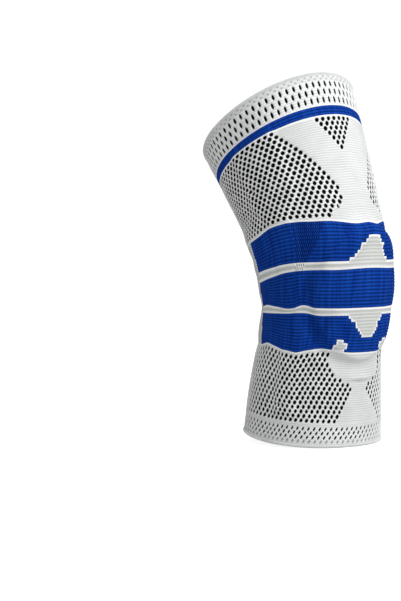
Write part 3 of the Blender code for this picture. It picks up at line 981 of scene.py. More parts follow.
@dataclass(frozen=True)
class KnitFinish:
    """White and blue elastic yarn."""

    white: Colour = (0.84, 0.86, 0.85)
    grey: Colour = (0.73, 0.75, 0.72)
    bright: Colour = (0.98, 0.99, 0.99)
    # the blue yarn runs from deep_blue to blue along random streaks of painted sheen
    blue: Colour = (0.009, 0.082, 0.50)
    deep_blue: Colour = (0.004, 0.046, 0.36)
    hole: Colour = (0.0015, 0.0018, 0.0018)
    # painted shade in the grooves between ribs, on white and on blue yarn
    white_groove_shade: float = 0.20
    blue_groove_shade: float = 0.62
    roughness: float = 0.82
    gloss: float = 0.03
    bump: float = 0.35
    bump_height: float = 0.00025
    tone_scale: float = 60.0
    tone: tuple[float, float] = (0.93, 1.04)
    loop_light: tuple[float, float] = (0.12, 0.92)     # more on a loop's crest, and between loops
    open_bright: float = 0.8       # share of the bright yarn between the dots

    def material(self, kit: ShaderKit, name: str, work: OpenWork) -> Material:
        """Make the material of one stretch of the knit.

        Args:
            kit: The shared shader groups.
            name: What the material is called.
            work: The stretch's open work and ribs.

        Returns:
            The material.
        """
        material, wiring, shader = new_material(name)
        chart = wiring.node("ShaderNodeSeparateXYZ")
        wiring.join(wiring.node("ShaderNodeUVMap", uv_map="Knit").outputs[0], chart.inputs[0])
        around, row = chart.outputs[0], chart.outputs[1]
        marks = {}
        for mark in ("open", "blue", "edge"):
            marks[mark] = wiring.node("ShaderNodeAttribute", attribute_name=mark).outputs["Fac"]
        dot = wiring.place(
            kit.open_work, around=around, row=row, open=marks["open"], repeats=work.repeats,
            half_width=work.half_width, half_height=work.half_height, slant=work.slant,
            softness=work.softness, jitter=work.jitter).outputs["Dot"]
        crest = wiring.place(kit.ribs, row=row, ribs=work.ribs).outputs["Crest"]
        loops = wiring.place(kit.loops, around=around, row=row, wales=work.wales, stitches=work.stitches)
        tone = wiring.place(kit.tone, scale=self.tone_scale, low=self.tone[0], high=self.tone[1])
        # painted shade in the grooves between ribs: deeper on blue yarn, none on bright edge cells
        depth = wiring.math(
            "MULTIPLY_ADD", marks["blue"], self.blue_groove_shade - self.white_groove_shade, self.white_groove_shade)
        groove = wiring.math("MULTIPLY", wiring.math("SUBTRACT", 1.0, crest), depth)
        groove = wiring.math("MULTIPLY", groove, wiring.math("SUBTRACT", 1.0, marks["edge"]))
        shade = wiring.math("MULTIPLY", wiring.math("SUBTRACT", 1.0, groove), tone.outputs["Tone"])
        light = wiring.math("MULTIPLY_ADD", loops.outputs["Height"], *self.loop_light)
        between = wiring.math("MULTIPLY", marks["open"], self.open_bright)
        fresh = wiring.math("MAXIMUM", marks["edge"], between)
        white = wiring.mix(fresh, solid(self.white), solid(self.bright))
        # random streaks of painted sheen on the blue yarn
        streaks = wiring.place(kit.streaks, around=around, row=row, low=0.0, high=1.0).outputs["Tone"]
        blue = wiring.mix(streaks, solid(self.deep_blue), solid(self.blue))
        yarn = wiring.mix(marks["blue"], white, blue)
        shades = wiring.node("ShaderNodeCombineColor")
        for channel in range(3):
            wiring.join(wiring.math("MULTIPLY", shade, light), shades.inputs[channel])
        yarn = wiring.mix(1.0, yarn, shades.outputs[0], "MULTIPLY")
        wiring.join(wiring.mix(dot, yarn, solid(self.hole)), shader.inputs["Base Color"])
        shader.inputs["Roughness"].default_value = self.roughness
        shader.inputs["Specular IOR Level"].default_value = self.gloss
        bump = wiring.node("ShaderNodeBump")
        bump.inputs["Strength"].default_value = self.bump
        bump.inputs["Distance"].default_value = self.bump_height
        height = wiring.math("MULTIPLY", loops.outputs["Height"], wiring.math("SUBTRACT", 1.0, dot))
        wiring.join(height, bump.inputs["Height"])
        wiring.join(bump.outputs[0], shader.inputs["Normal"])
        return material


@dataclass(frozen=True)
class SmoothFinish:
    """A moulded or drawn material: its colour, gloss and the grain of its surface."""

    name: str
    colour: Colour
    roughness: float
    metallic: float = 0.0
    coat: float = 0.0
    grain_scale: float = 400.0
    grain: float = 0.1
    grain_height: float = 0.0001
    tone: tuple[float, float] = (0.95, 1.03)
    tone_scale: float = 90.0
    grain_spread: float = 0.15

    def material(self, kit: ShaderKit) -> Material:
        """Make the material, with the shared shader groups.

        Args:
            kit: The shared shader groups.

        Returns:
            The material.
        """
        material, wiring, shader = new_material(self.name)
        tone = wiring.place(
            kit.tone, scale=self.tone_scale, low=self.tone[0], high=self.tone[1]).outputs["Tone"]
        shades = wiring.node("ShaderNodeCombineColor")
        for channel in range(3):
            wiring.join(tone, shades.inputs[channel])
        colour = wiring.mix(1.0, solid(self.colour), shades.outputs[0], "MULTIPLY")
        wiring.join(colour, shader.inputs["Base Color"])
        rough = wiring.place(
            kit.tone, scale=self.grain_scale, low=self.roughness * (1.0 - self.grain_spread),
            high=self.roughness * (1.0 + self.grain_spread))
        wiring.join(rough.outputs["Tone"], shader.inputs["Roughness"])
        shader.inputs["Metallic"].default_value = self.metallic
        shader.inputs["Coat Weight"].default_value = self.coat
        bump = wiring.node("ShaderNodeBump")
        bump.inputs["Strength"].default_value = self.grain
        bump.inputs["Distance"].default_value = self.grain_height
        wiring.join(rough.outputs["Tone"], bump.inputs["Height"])
        wiring.join(bump.outputs[0], shader.inputs["Normal"])
        return material


SILICONE = SmoothFinish("silicone", (0.66, 0.63, 0.69), 0.42, grain=0.15)
PLASTIC = SmoothFinish("stay plastic", (0.80, 0.81, 0.80), 0.38, grain=0.12)
STEEL = SmoothFinish("spring steel", (0.55, 0.56, 0.58), 0.28, metallic=1.0, grain_scale=900.0)
FLOOR = SmoothFinish("pale floor", (0.55, 0.55, 0.55), 0.70, grain_scale=6.0, grain=0.02, tone=(0.99, 1.01))


# Geometry nodes and meshes ----------------------------------------------------------------


def new_recipe(name: str, numbers: dict[str, float]) -> tuple[Wiring, Any, Any]:
    """Start a geometry tree.

    Args:
        name: What the tree is called.
        numbers: Its named sizes and their usual values.

    Returns:
        The tree's wiring, the outputs of its input node and the inputs of its output node.
    """
    tree = bpy.data.node_groups.new(name, "GeometryNodeTree")
    tree.interface.new_socket("Geometry", in_out="INPUT", socket_type="NodeSocketGeometry")
    for label, value in numbers.items():
        socket = tree.interface.new_socket(label, in_out="INPUT", socket_type="NodeSocketFloat")
        socket.default_value = value
    tree.interface.new_socket("Material", in_out="INPUT", socket_type="NodeSocketMaterial")
    tree.interface.new_socket("Geometry", in_out="OUTPUT", socket_type="NodeSocketGeometry")
    wiring = Wiring(tree)
    return wiring, wiring.node("NodeGroupInput").outputs, wiring.node("NodeGroupOutput").inputs


def end_recipe(wiring: Wiring, geometry: Any, given: Any, result: Any) -> None:
    """End a geometry tree: instances made real and the material set.

    Args:
        wiring: The tree's wiring.
        geometry: What the tree has made.
        given: The outputs of its input node.
        result: The inputs of its output node.
    """
    real = wiring.node("GeometryNodeRealizeInstances")
    wiring.join(geometry, real.inputs[0])
    paint = wiring.node("GeometryNodeSetMaterial")
    wiring.join(real.outputs[0], paint.inputs["Geometry"])
    wiring.join(given["Material"], paint.inputs["Material"])
    wiring.join(paint.outputs[0], result["Geometry"])


def named(wiring: Wiring, attribute: str, kind: str = "FLOAT") -> NodeSocket:
    """Read a named attribute in a geometry tree."""
    made = wiring.node("GeometryNodeInputNamedAttribute", data_type=kind)
    made.inputs["Name"].default_value = attribute
    return made.outputs["Attribute"]


def relief_recipe() -> NodeTree:
    """Build the tree that sinks the dots into the knit and raises its ribs.

    Returns:
        The geometry tree.
    """
    sizes = {"Repeats": 1.0, "Half Width": 0.25, "Half Height": 0.4, "Slant": 0.0, "Softness": 0.2,
             "Jitter": 0.1, "Pit Depth": 0.001, "Rib Height": 0.0002, "Ribs": 1.0}
    wiring, given, result = new_recipe("knit relief", sizes)
    row = named(wiring, "row")
    sockets = {"Around": named(wiring, "around"), "Row": row, "Open": named(wiring, "open")}
    for label in DOT_INPUTS[3:]:
        sockets[label] = given[label]
    pit = wiring.math("MULTIPLY", dot_share(wiring, sockets), given["Pit Depth"])
    rib = wiring.math("MULTIPLY", rib_share(wiring, row, given["Ribs"]), given["Rib Height"])
    rise = wiring.math("MULTIPLY", wiring.math("SUBTRACT", rib, pit), named(wiring, "outer"))
    push = wiring.node("ShaderNodeVectorMath", operation="SCALE")
    wiring.join(wiring.node("GeometryNodeInputNormal").outputs[0], push.inputs[0])
    wiring.join(rise, push.inputs["Scale"])
    move = wiring.node("GeometryNodeSetPosition")
    wiring.join(given["Geometry"], move.inputs["Geometry"])
    wiring.join(push.outputs[0], move.inputs["Offset"])
    end_recipe(wiring, move.outputs[0], given, result)
    return wiring.tree


def loops_recipe() -> NodeTree:
    """Build the tree that sets a loop of yarn or wire on each point of a line.

    Returns:
        The geometry tree.
    """
    sizes = {"Half Across": 0.001, "Half Deep": 0.001, "Strand": 0.0002, "Lean": 0.3}
    wiring, given, result = new_recipe("loops in a row", sizes)
    ring = wiring.node("GeometryNodeCurvePrimitiveCircle", mode="RADIUS")
    ring.inputs["Resolution"].default_value = LOOP_STEPS
    ring.inputs["Radius"].default_value = 1.0
    stretch = wiring.node("ShaderNodeCombineXYZ")
    wiring.join(given["Half Across"], stretch.inputs[0])
    wiring.join(given["Half Deep"], stretch.inputs[1])
    stretch.inputs[2].default_value = 1.0
    shape = wiring.node("GeometryNodeTransform")
    wiring.join(ring.outputs["Curve"], shape.inputs["Geometry"])
    wiring.join(stretch.outputs[0], shape.inputs["Scale"])
    strand = wiring.node("GeometryNodeCurvePrimitiveCircle", mode="RADIUS")
    strand.inputs["Resolution"].default_value = STRAND_SIDES
    wiring.join(given["Strand"], strand.inputs["Radius"])
    tube = wiring.node("GeometryNodeCurveToMesh")
    wiring.join(shape.outputs[0], tube.inputs["Curve"])
    wiring.join(strand.outputs["Curve"], tube.inputs["Profile Curve"])
    smoothed = wiring.node("GeometryNodeSetShadeSmooth")
    wiring.join(tube.outputs[0], smoothed.inputs["Geometry"])
    turn = wiring.node("FunctionNodeAxesToRotation", primary_axis="Z", secondary_axis="Y")
    wiring.join(named(wiring, "along", "FLOAT_VECTOR"), turn.inputs["Primary Axis"])
    wiring.join(named(wiring, "out", "FLOAT_VECTOR"), turn.inputs["Secondary Axis"])
    lean = wiring.node("ShaderNodeCombineXYZ")
    wiring.join(wiring.math("MULTIPLY", given["Lean"], named(wiring, "hand")), lean.inputs[1])
    tilt = wiring.node("FunctionNodeEulerToRotation")
    wiring.join(lean.outputs[0], tilt.inputs[0])
    both = wiring.node("FunctionNodeRotateRotation", rotation_space="LOCAL")
    wiring.join(turn.outputs[0], both.inputs[0])
    wiring.join(tilt.outputs[0], both.inputs[1])
    points = wiring.node("GeometryNodeMeshToPoints")
    wiring.join(given["Geometry"], points.inputs["Mesh"])
    set_out = wiring.node("GeometryNodeInstanceOnPoints")
    wiring.join(points.outputs[0], set_out.inputs["Points"])
    wiring.join(smoothed.outputs[0], set_out.inputs["Instance"])
    wiring.join(both.outputs[0], set_out.inputs["Rotation"])
    end_recipe(wiring, set_out.outputs[0], given, result)
    return wiring.tree


def run_recipe(
    thing: Object, tree: NodeTree, material: Material, **sizes: float,
) -> Object:
    """Run a geometry tree on an object and keep the result as its plain mesh.

    Args:
        thing: The object with the mesh that the tree starts from.
        tree: The geometry tree.
        material: What it paints the result with.
        sizes: Values for its named inputs, with _ for a space.

    Returns:
        The same object.
    """
    modifier = thing.modifiers.new("recipe", "NODES")
    modifier.node_group = tree
    values = {name.replace("_", " ").title(): value for name, value in sizes.items()}
    values["Material"] = material
    for item in tree.interface.items_tree:
        if item.item_type == "SOCKET" and item.in_out == "INPUT" and item.name in values:
            modifier[item.identifier] = values[item.name]
    thing.update_tag()
    graph = bpy.context.evaluated_depsgraph_get()
    made = bpy.data.meshes.new_from_object(
        thing.evaluated_get(graph), preserve_all_data_layers=True, depsgraph=graph)
    thing.modifiers.remove(modifier)
    before = thing.data
    thing.data = made
    bpy.data.meshes.remove(before)
    made.name = thing.name
    return thing


def add_object(name: str, mesh: Mesh) -> Object:
    """Put a mesh in the scene as an object at the origin."""
    thing = bpy.data.objects.new(name, mesh)
    bpy.context.scene.collection.objects.link(thing)
    return thing


def mark(
    mesh: Mesh, name: str, values: Array, kind: str = "FLOAT", domain: str = "POINT",
) -> None:
    """Store an attribute on a mesh.

    Args:
        mesh: The mesh.
        name: What the attribute is called.
        values: Its values, in the order of the mesh.
        kind: What each value is.
        domain: Which parts of the mesh have one.
    """
    attribute = mesh.attributes.new(name, kind, domain)
    channel = "vector" if kind == "FLOAT_VECTOR" else "value"
    attribute.data.foreach_set(channel, np.asarray(values, np.float32).ravel())


def tube_mesh(name: str, loops: Array) -> Mesh:
    """Make a mesh through closed loops, with the last loop joined to the first.

    Args:
        name: What the mesh is called.
        loops: Points, as loops by points by x, y and z.

    Returns:
        A closed mesh of four-sided faces, row by row.
    """
    rows, columns, _ = loops.shape
    row = np.arange(rows)[:, None] * columns
    above = (np.arange(rows)[:, None] + 1) % rows * columns
    column = np.arange(columns)[None, :]
    beside = (column + 1) % columns
    corners = np.stack([row + column, row + beside, above + beside, above + column], axis=-1)
    mesh = bpy.data.meshes.new(name)
    mesh.vertices.add(rows * columns)
    mesh.vertices.foreach_set("co", loops.astype(np.float32).ravel())
    mesh.loops.add(rows * columns * 4)
    mesh.loops.foreach_set("vertex_index", corners.astype(np.int32).ravel())
    mesh.polygons.add(rows * columns)
    mesh.polygons.foreach_set("loop_start", np.arange(rows * columns, dtype=np.int32) * 4)
    mesh.update(calc_edges=True)
    mesh.validate()
    mesh.shade_smooth()
    return mesh


def capped_mesh(name: str, loops: Array) -> Mesh:
    """Make a mesh through loops, with the first and the last one filled.

    Args:
        name: What it is called.
        loops: Points, as loops by points by x, y and z.

    Returns:
        A closed mesh.
    """
    rows, columns, _ = loops.shape
    points = [tuple(point) for loop in loops for point in loop]
    faces = []
    for row in range(rows - 1):
        for column in range(columns):
            beside = (column + 1) % columns
            faces.append((row * columns + column, row * columns + beside,
                          (row + 1) * columns + beside, (row + 1) * columns + column))
    faces.append(tuple(range(columns)))
    faces.append(tuple(range((rows - 1) * columns, rows * columns)))
    mesh = bpy.data.meshes.new(name)
    mesh.from_pydata(points, [], faces)
    return face_outwards(mesh)


def face_outwards(mesh: Mesh) -> Mesh:
    """Turn a closed mesh's faces outwards and shade it smooth.

    Args:
        mesh: The mesh to turn.

    Returns:
        The same mesh.
    """
    shape = bmesh.new()
    shape.from_mesh(mesh)
    bmesh.ops.recalc_face_normals(shape, faces=shape.faces[:])
    shape.to_mesh(mesh)
    shape.free()
    mesh.shade_smooth()
    return mesh


def hand_over(piece: Object, slot: str, *nodes: str) -> Object:
    """Fix a finished piece to the leg's body and hide the solids it stands for.

    Args:
        piece: The finished piece.
        slot: Not used.
        nodes: The solids that it stands for.

    Returns:
        The same piece.
    """
    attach(piece, ROOT)
    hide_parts(*nodes)
    faces = sum(len(face.vertices) - 2 for face in piece.data.polygons)
    LOG.info("%s: %d triangles", piece.name, faces)
    return piece


def mould(mesh: Mesh, material: Material, slot: str, node: str) -> Object:
    """Finish a moulded piece, which is called what its mesh is called."""
    mesh.materials.append(material)
    return hand_over(add_object(mesh.name, mesh), slot, node)


# The knit -----------------------------------------------------------------------------------


@dataclass(frozen=True)
class Stretch:
    """One run of rows between two courses: where the chart's rows start and end in it."""

    bottom: str
    top: str
    rows: int
    first: float
    last: float
    blue: bool = False


@dataclass
class KnitShell(Clad):
    """A closed length of the tube: fine outside, coarser inside, with its two edges between."""

    name: str
    stretches: tuple[Stretch, ...]
    columns: int
    work: OpenWork
    inner_step: int = 8        # rows outside for each row inside
    rolled_bottom: bool = False
    rolled_top: bool = False
    bright_rows: tuple[int, int] = (0, 0)      # next to blue at the bottom and at the top
    roll_steps: int = 4
    pit_slope: float = 0.3     # how softly a pit's wall falls, as a share of the dot

    def rows(self) -> tuple[Array, Array, Array]:
        """Lay out the rows of the outer face.

        Returns:
            The pattern angle of each column, the heights by row and column, and the chart's
            row number of each row.
        """
        angles = np.arange(self.columns) * FULL_TURN / self.columns - FULL_TURN / 2.0
        heights, numbers = [], []
        for stretch in self.stretches:
            low = self.cloth.chart.courses[stretch.bottom].height(angles)
            high = self.cloth.chart.courses[stretch.top].height(angles)
            shares = np.linspace(0.0, 1.0, stretch.rows + 1)
            start = 0 if not heights else 1
            heights += [low + (high - low) * share for share in shares[start:]]
            numbers += list(stretch.first + (stretch.last - stretch.first) * shares[start:])
        return angles, np.array(heights), np.array(numbers)

    def open_cells(self, cell_angle: Array, cell_height: Array, number: Array) -> Array:
        """Return which cells of the chart are open work. A plain stretch has none."""
        return np.zeros_like(cell_height)

    def yarns(self, angles: Array, heights: Array) -> tuple[Array, Array]:
        """Choose yarns by face of the outer side.

        Args:
            angles: Pattern angle of each column.
            heights: Heights by row and column.

        Returns:
            How blue each face is, and how far it is a bright edge next to blue.
        """
        faces = []
        for stretch in self.stretches:
            faces += [float(stretch.blue)] * stretch.rows
        blue = np.repeat(np.array(faces)[:, None], self.columns, axis=1)
        edge = np.zeros_like(blue)
        first, last = self.bright_rows
        start = int(blue[:, 0].sum())
        edge[start:start + first] = 1.0
        edge[len(edge) - last:] = 1.0
        return blue, edge

    def build(self, recipe: NodeTree, material: Material) -> Object:
        """Make the piece.

        Args:
            recipe: The tree that gives the knit its dots and ribs.
            material: The knit's finish.

        Returns:
            The finished piece, riding on the leg's body.
        """
        angles, heights, numbers = self.rows()
        count = len(numbers)
        real = angles[None, :] + self.cloth.chart.drift(heights)
        levels = self.leg.level_of(heights)
        lift = self.cloth.lift(real, heights)
        outer = self.leg.point(real, levels, -lift)
        inside = np.unique(np.append(np.arange(0, count, self.inner_step), count - 1))[::-1]
        inner = self.leg.point(real[inside], levels[inside], self.leg.knit - lift[inside])
        top = self.edge_roll(outer[-1], inner[0], outer[-1] - outer[-2], self.rolled_top)
        bottom = self.edge_roll(inner[-1], outer[0], outer[0] - outer[1], self.rolled_bottom)
        loops = np.concatenate([outer, top, inner, bottom])
        mesh = tube_mesh(self.name, loops)
        row_of = np.concatenate([
            numbers, np.full(len(top), numbers[-1]), numbers[inside], np.full(len(bottom), numbers[0])])
        around = (angles + FULL_TURN / 2.0) / FULL_TURN * DOTS_ROUND
        self.write_marks(mesh, angles, heights, numbers, row_of, around)
        thing = add_object(self.name, mesh)
        run_recipe(
            thing, recipe, material, repeats=self.work.repeats, half_width=self.work.half_width,
            half_height=self.work.half_height, slant=self.work.slant, softness=self.pit_slope,
            jitter=self.work.jitter, pit_depth=self.work.pit, rib_height=self.work.rib_height,
            ribs=self.work.ribs)
        hand_over(thing, "knit", "knit_sleeve")
        span = np.linalg.norm(outer - np.roll(outer, 1, axis=1), axis=2).sum(axis=1)
        rise = np.linalg.norm(np.diff(outer, axis=0), axis=2).sum(axis=0)
        return thing

    def edge_roll(self, start: Array, end: Array, way: Array, rolled: bool) -> Array:
        """Round off an edge of the tube.

        Args:
            start: Loop where the roll starts.
            end: Loop where it ends.
            way: Direction from the cloth out past the edge, by point.
            rolled: Whether this edge is a free, rolled one.

        Returns:
            The loops between them, or none.
        """
        if not rolled:
            return np.zeros((0, len(start), 3))
        middle = (start + end) / 2.0
        half = (start - end) / 2.0
        reach = np.linalg.norm(half, axis=1, keepdims=True)
        way = way / np.linalg.norm(way, axis=1, keepdims=True)
        turns = np.linspace(0.0, math.pi, self.roll_steps + 2)[1:-1]
        return np.array([middle + half * math.cos(t) + way * reach * math.sin(t) for t in turns])

    def write_marks(
        self, mesh: Mesh, angles: Array, heights: Array, numbers: Array,
        row_of: Array, around: Array,
    ) -> None:
        """Store what the recipe and the finish read, and the sharp edges between stretches.

        Args:
            mesh: The mesh, row by row as loops.
            angles: Pattern angle of each column.
            heights: Heights by row and column of the outer face.
            numbers: Chart row of each outer row.
            row_of: Chart row of each loop.
            around: Dot number of each column.
        """
        count, total = len(numbers), len(row_of)
        number = np.floor(numbers)
        shift = 0.5 * (number % 2.0)
        repeats = self.work.repeats
        cell = np.floor(around[None, :] * repeats + shift[:, None]) + 0.5 - shift[:, None]
        cell_angle = cell / (DOTS_ROUND * repeats) * FULL_TURN - FULL_TURN / 2.0
        middle = np.clip(number + 0.5, numbers.min(), numbers.max())
        cell_height = np.array([np.interp(middle, numbers, heights[:, c]) for c in range(self.columns)]).T
        opened = np.zeros((total, self.columns))
        opened[:count] = self.open_cells(cell_angle, cell_height, number[:, None] + 0 * cell_angle)
        outer = np.zeros((total, self.columns))
        outer[:count] = 1.0
        fade = np.minimum(np.arange(count), np.arange(count)[::-1]) / 2.0
        outer[:count] *= np.clip(fade, 0.0, 1.0)[:, None]
        mark(mesh, "around", np.repeat(around[None, :], total, axis=0))
        mark(mesh, "row", np.repeat(row_of[:, None], self.columns, axis=1))
        mark(mesh, "open", opened)
        mark(mesh, "outer", outer)
        blue, edge = np.zeros((total, self.columns)), np.zeros((total, self.columns))
        outer_blue, outer_edge = self.yarns(angles, heights)
        blue[:count - 1], edge[:count - 1] = outer_blue, outer_edge
        self.carry_inside(blue, outer_blue, numbers, row_of, count)
        mark(mesh, "blue", blue, domain="FACE")
        mark(mesh, "edge", edge, domain="FACE")
        columns = np.arange(self.columns)
        corner_u = np.stack([around[columns], around[columns] + around[1] - around[0]], axis=-1)
        following = np.append(row_of[1:], row_of[0])
        uv = np.zeros((total, self.columns, 4, 2), np.float32)
        uv[..., 0] = corner_u[:, [0, 1, 1, 0]][None]
        uv[..., 1] = np.stack([row_of, row_of, following, following], axis=-1)[:, None]
        layer = mesh.uv_layers.new(name="Knit")
        layer.data.foreach_set("uv", uv.ravel())
        pairs = np.zeros(len(mesh.edges) * 2, np.int32)
        mesh.edges.foreach_get("vertices", pairs)
        ends = pairs.reshape(-1, 2) // self.columns
        sharp = (ends[:, 0] == ends[:, 1]) & np.isin(ends[:, 0], self.corner_loops(count, total))
        found = mesh.attributes.get("sharp_edge")
        found = found or mesh.attributes.new("sharp_edge", "BOOLEAN", "EDGE")
        found.data.foreach_set("value", sharp)

    def corner_loops(self, count: int, total: int) -> list[int]:
        """Return the loops where the cloth's face meets a cut edge.

        Args:
            count: Rows of the outer face.
            total: Loops in all.

        Returns:
            The loops' numbers.
        """
        corners = []
        if not self.rolled_top:
            corners += [count - 1, count]
        if not self.rolled_bottom:
            corners += [0, total - 1]
        return corners

    def carry_inside(
        self, blue: Array, outer_blue: Array, numbers: Array, row_of: Array, count: int,
    ) -> None:
        """Give the inner face the yarn of the outer face beside it.

        Args:
            blue: How blue each face is, filled in here.
            outer_blue: The same for the outer face.
            numbers: Chart row of each outer row.
            row_of: Chart row of each loop.
            count: Rows of the outer face.
        """
        for loop in range(count, len(blue) - 1):
            middle = (row_of[loop] + row_of[loop + 1]) / 2.0
            row = int(np.clip(np.searchsorted(numbers, middle) - 1, 0, count - 2))
            blue[loop] = outer_blue[row]


@dataclass
class CalfKnit(KnitShell):
    """The open-work calf, with its plain panel down the front."""

    dotted_rows: int = 15

    def open_cells(self, cell_angle: Array, cell_height: Array, number: Array) -> Array:
        """Open every cell of the dotted rows outside the plain panel."""
        rows = (number >= 0) & (number < self.dotted_rows)
        return (rows & ~self.cloth.chart.calf_panel.holds(cell_angle, cell_height)).astype(float)


@dataclass
class ThighKnit(KnitShell):
    """The open-work thigh, with its plain panel and the small triangle of dots in it."""

    dotted_rows: int = 21

    def open_cells(self, cell_angle: Array, cell_height: Array, number: Array) -> Array:
        """Open the dotted rows outside the plain panel, and the triangle inside it.

        Args:
            cell_angle: Pattern angle of each cell's middle, in degrees.
            cell_height: Height of each cell's middle, in metres.
            number: Chart row of each cell.

        Returns:
            1 for open cells and 0 for plain ones.
        """
        rows = (number >= 0) & (number < self.dotted_rows)
        dots = rows & ~self.cloth.chart.thigh_panel.holds(cell_angle, cell_height)
        below = self.dotted_rows - 1 - number
        reach = (self.cloth.chart.triangle_dots - below) * FULL_TURN / DOTS_ROUND / 2.0
        away = np.abs(turned_from(cell_angle, self.cloth.chart.triangle_middle))
        triangle = (below >= 0) & (away < reach)
        return (dots | triangle).astype(float)


@dataclass
class KneeKnit(KnitShell):
    """The blue kneecap bands with their white stripes and figures."""

    cell_columns: int = 3
    cell_rows: int = 4

    def open_cells(self, cell_angle: Array, cell_height: Array, number: Array) -> Array:
        """Open the small ticks beside the kneecap."""
        return self.cloth.chart.ticked(cell_angle, cell_height).astype(float)

    def yarns(self, angles: Array, heights: Array) -> tuple[Array, Array]:
        """Choose yarns in whole cells of one rib by a few columns of loops.

        Args:
            angles: Pattern angle of each column.
            heights: Heights by row and column.

        Returns:
            How blue each face is, and how far it is a bright edge next to blue.
        """
        band = []
        for stretch in self.stretches:
            band += [stretch.blue] * stretch.rows
        rows = len(band)
        row_cell = np.arange(rows) // self.cell_rows * self.cell_rows
        column_cell = np.arange(self.columns) // self.cell_columns * self.cell_columns
        cell_angle = angles[column_cell] + FULL_TURN / self.columns * self.cell_columns / 2.0
        lower = heights[row_cell][:, column_cell]
        upper = heights[np.minimum(row_cell + self.cell_rows, rows)][:, column_cell]
        band = np.repeat(np.array(band)[:, None], self.columns, axis=1)
        blue = self.cloth.chart.yarn(cell_angle[None, :] + 0 * lower, (lower + upper) / 2.0, band)
        near = np.zeros_like(blue)
        for rows_off, columns_off in ((2, 0), (-2, 0), (0, 2), (0, -2)):
            near = np.maximum(near, np.roll(blue, (rows_off, columns_off), axis=(0, 1)))
        return blue, near * (1.0 - blue)


@dataclass
class CuffKnit(KnitShell):
    """A ribbed cuff with rows of dashes."""

    dash_rows: dict[int, float] = field(default_factory=dict)

    def open_cells(self, cell_angle: Array, cell_height: Array, number: Array) -> Array:
        """Open the rows of dashes, some only partly.

        Args:
            cell_angle: Pattern angle of each cell's middle, in degrees.
            cell_height: Height of each cell's middle, in metres.
            number: Chart row of each cell.

        Returns:
            How open each cell is.
        """
        opened = np.zeros_like(cell_height)
        for row, share in self.dash_rows.items():
            opened[number == row] = share
        return opened


@dataclass
class EdgeLoops:
    """The row of small loops that closes the knit at the hem or the rim."""

    name: str
    leg: LegShape
    level: float
    way: float                 # -1 where the cloth ends downwards and 1 where it ends upwards
    count: int = 252
    half_across: float = 0.0013
    half_deep: float = 0.0014
    strand: float = 0.00042
    inset: float = 0.0006
    lean: float = 0.55
    level_step: float = 0.02   # how far back from the edge the cloth's direction is taken

    def build(self, recipe: NodeTree, material: Material) -> Object:
        """Set the loops round the edge, with the tree and the finish given.

        Args:
            recipe: The tree that sets out the loops.
            material: Its finish.

        Returns:
            The finished row of loops.
        """
        angles = np.arange(self.count) * FULL_TURN / self.count
        depth = self.leg.knit / 2.0
        middle = self.leg.point(angles, self.level, depth)
        outward = self.leg.point(angles, self.level, 0.0) - middle
        up = self.leg.point(angles, self.level - self.level_step * self.way, depth)
        up = (middle - up) / np.linalg.norm(middle - up, axis=1, keepdims=True)
        mesh = bpy.data.meshes.new(self.name)
        mesh.from_pydata([tuple(p) for p in middle - up * self.inset], [], [])
        tangent = np.cross(up, outward)
        mark(mesh, "along", tangent, kind="FLOAT_VECTOR")
        mark(mesh, "out", outward, kind="FLOAT_VECTOR")
        mark(mesh, "hand", np.ones(self.count))
        thing = add_object(self.name, mesh)
        run_recipe(thing, recipe, material, half_across=self.half_across, half_deep=self.half_deep,
                   strand=self.strand, lean=self.lean)
        return hand_over(thing, "knit", "knit_sleeve")


# The kneecap ring and the stays ---------------------------------------------------------------


@dataclass(frozen=True)
class RingRow:
    """One row across the kneecap ring, from its outer edge to its hole."""

    share: float
    dip: float
    thickness: float


@dataclass
class PatellaRing(Clad):
    """The soft ring inside the knit round the kneecap."""

    width: float = 0.075
    length: float = 0.120
    hole_width: float = 0.038
    hole_length: float = 0.066
    thickness: float = 0.0065
    gap: float = 0.0007
    steps: int = 144
    across: int = 22
    edge_round: float = 4.0        # how soon the ring reaches its thickness from an edge
    rows: tuple[RingRow, ...] = (
        RingRow(0.00, 0.00, 0.16),
        RingRow(0.12, 0.06, 0.26),
        RingRow(0.32, 0.14, 0.42),
        RingRow(0.48, 0.04, 0.78),
        RingRow(0.60, 0.00, 1.00),
        RingRow(0.74, 0.10, 0.84),
        RingRow(0.88, 0.32, 0.54),
        RingRow(1.00, 0.46, 0.30),
    )

    def build(self, material: Material) -> Object:
        """Make the ring from its rows, with its finish.

        Args:
            material: Its finish.

        Returns:
            The finished ring.
        """
        known = [row.share for row in self.rows]
        shares = (1.0 - np.cos(np.linspace(0.0, math.pi, self.across))) / 2.0
        dips = curve_through(known, [row.dip for row in self.rows], shares)
        backs = dips + curve_through(known, [row.thickness for row in self.rows], shares)
        rounding = np.sqrt(np.clip(np.sin(math.pi * shares) * self.edge_round, 0.0, 1.0))
        middle = (dips + backs) / 2.0
        dips = middle + (dips - middle) * rounding
        backs = middle + (backs - middle) * rounding
        loops = []
        for step in range(self.steps):
            turn = 2.0 * math.pi * step / self.steps
            half_width = (self.width + shares * (self.hole_width - self.width)) / 2.0
            half_length = (self.length + shares * (self.hole_length - self.length)) / 2.0
            across = half_width * math.sin(turn)
            along = half_length * math.cos(turn)
            levels = self.leg.climb(0.0, 0.0, along)
            angles = self.leg.go_round(0.0, levels, across)
            lift = self.cloth.lift_below(angles, self.leg.height_of(levels))
            top = self.leg.knit + self.gap + dips * self.thickness - lift
            bottom = self.leg.knit + self.gap + backs * self.thickness - lift
            face = self.leg.point(angles, levels, top)
            back = self.leg.point(angles, levels, bottom)
            loops.append(np.concatenate([face, back[::-1]]))
        mesh = face_outwards(tube_mesh("kneecap_ring", np.array(loops)))
        return mould(mesh, material, "silicone", "patella_ring")


@dataclass(frozen=True)
class Outline:
    """One place on the edge of a stay's head, as shares of its size."""

    half_width: float
    height: float


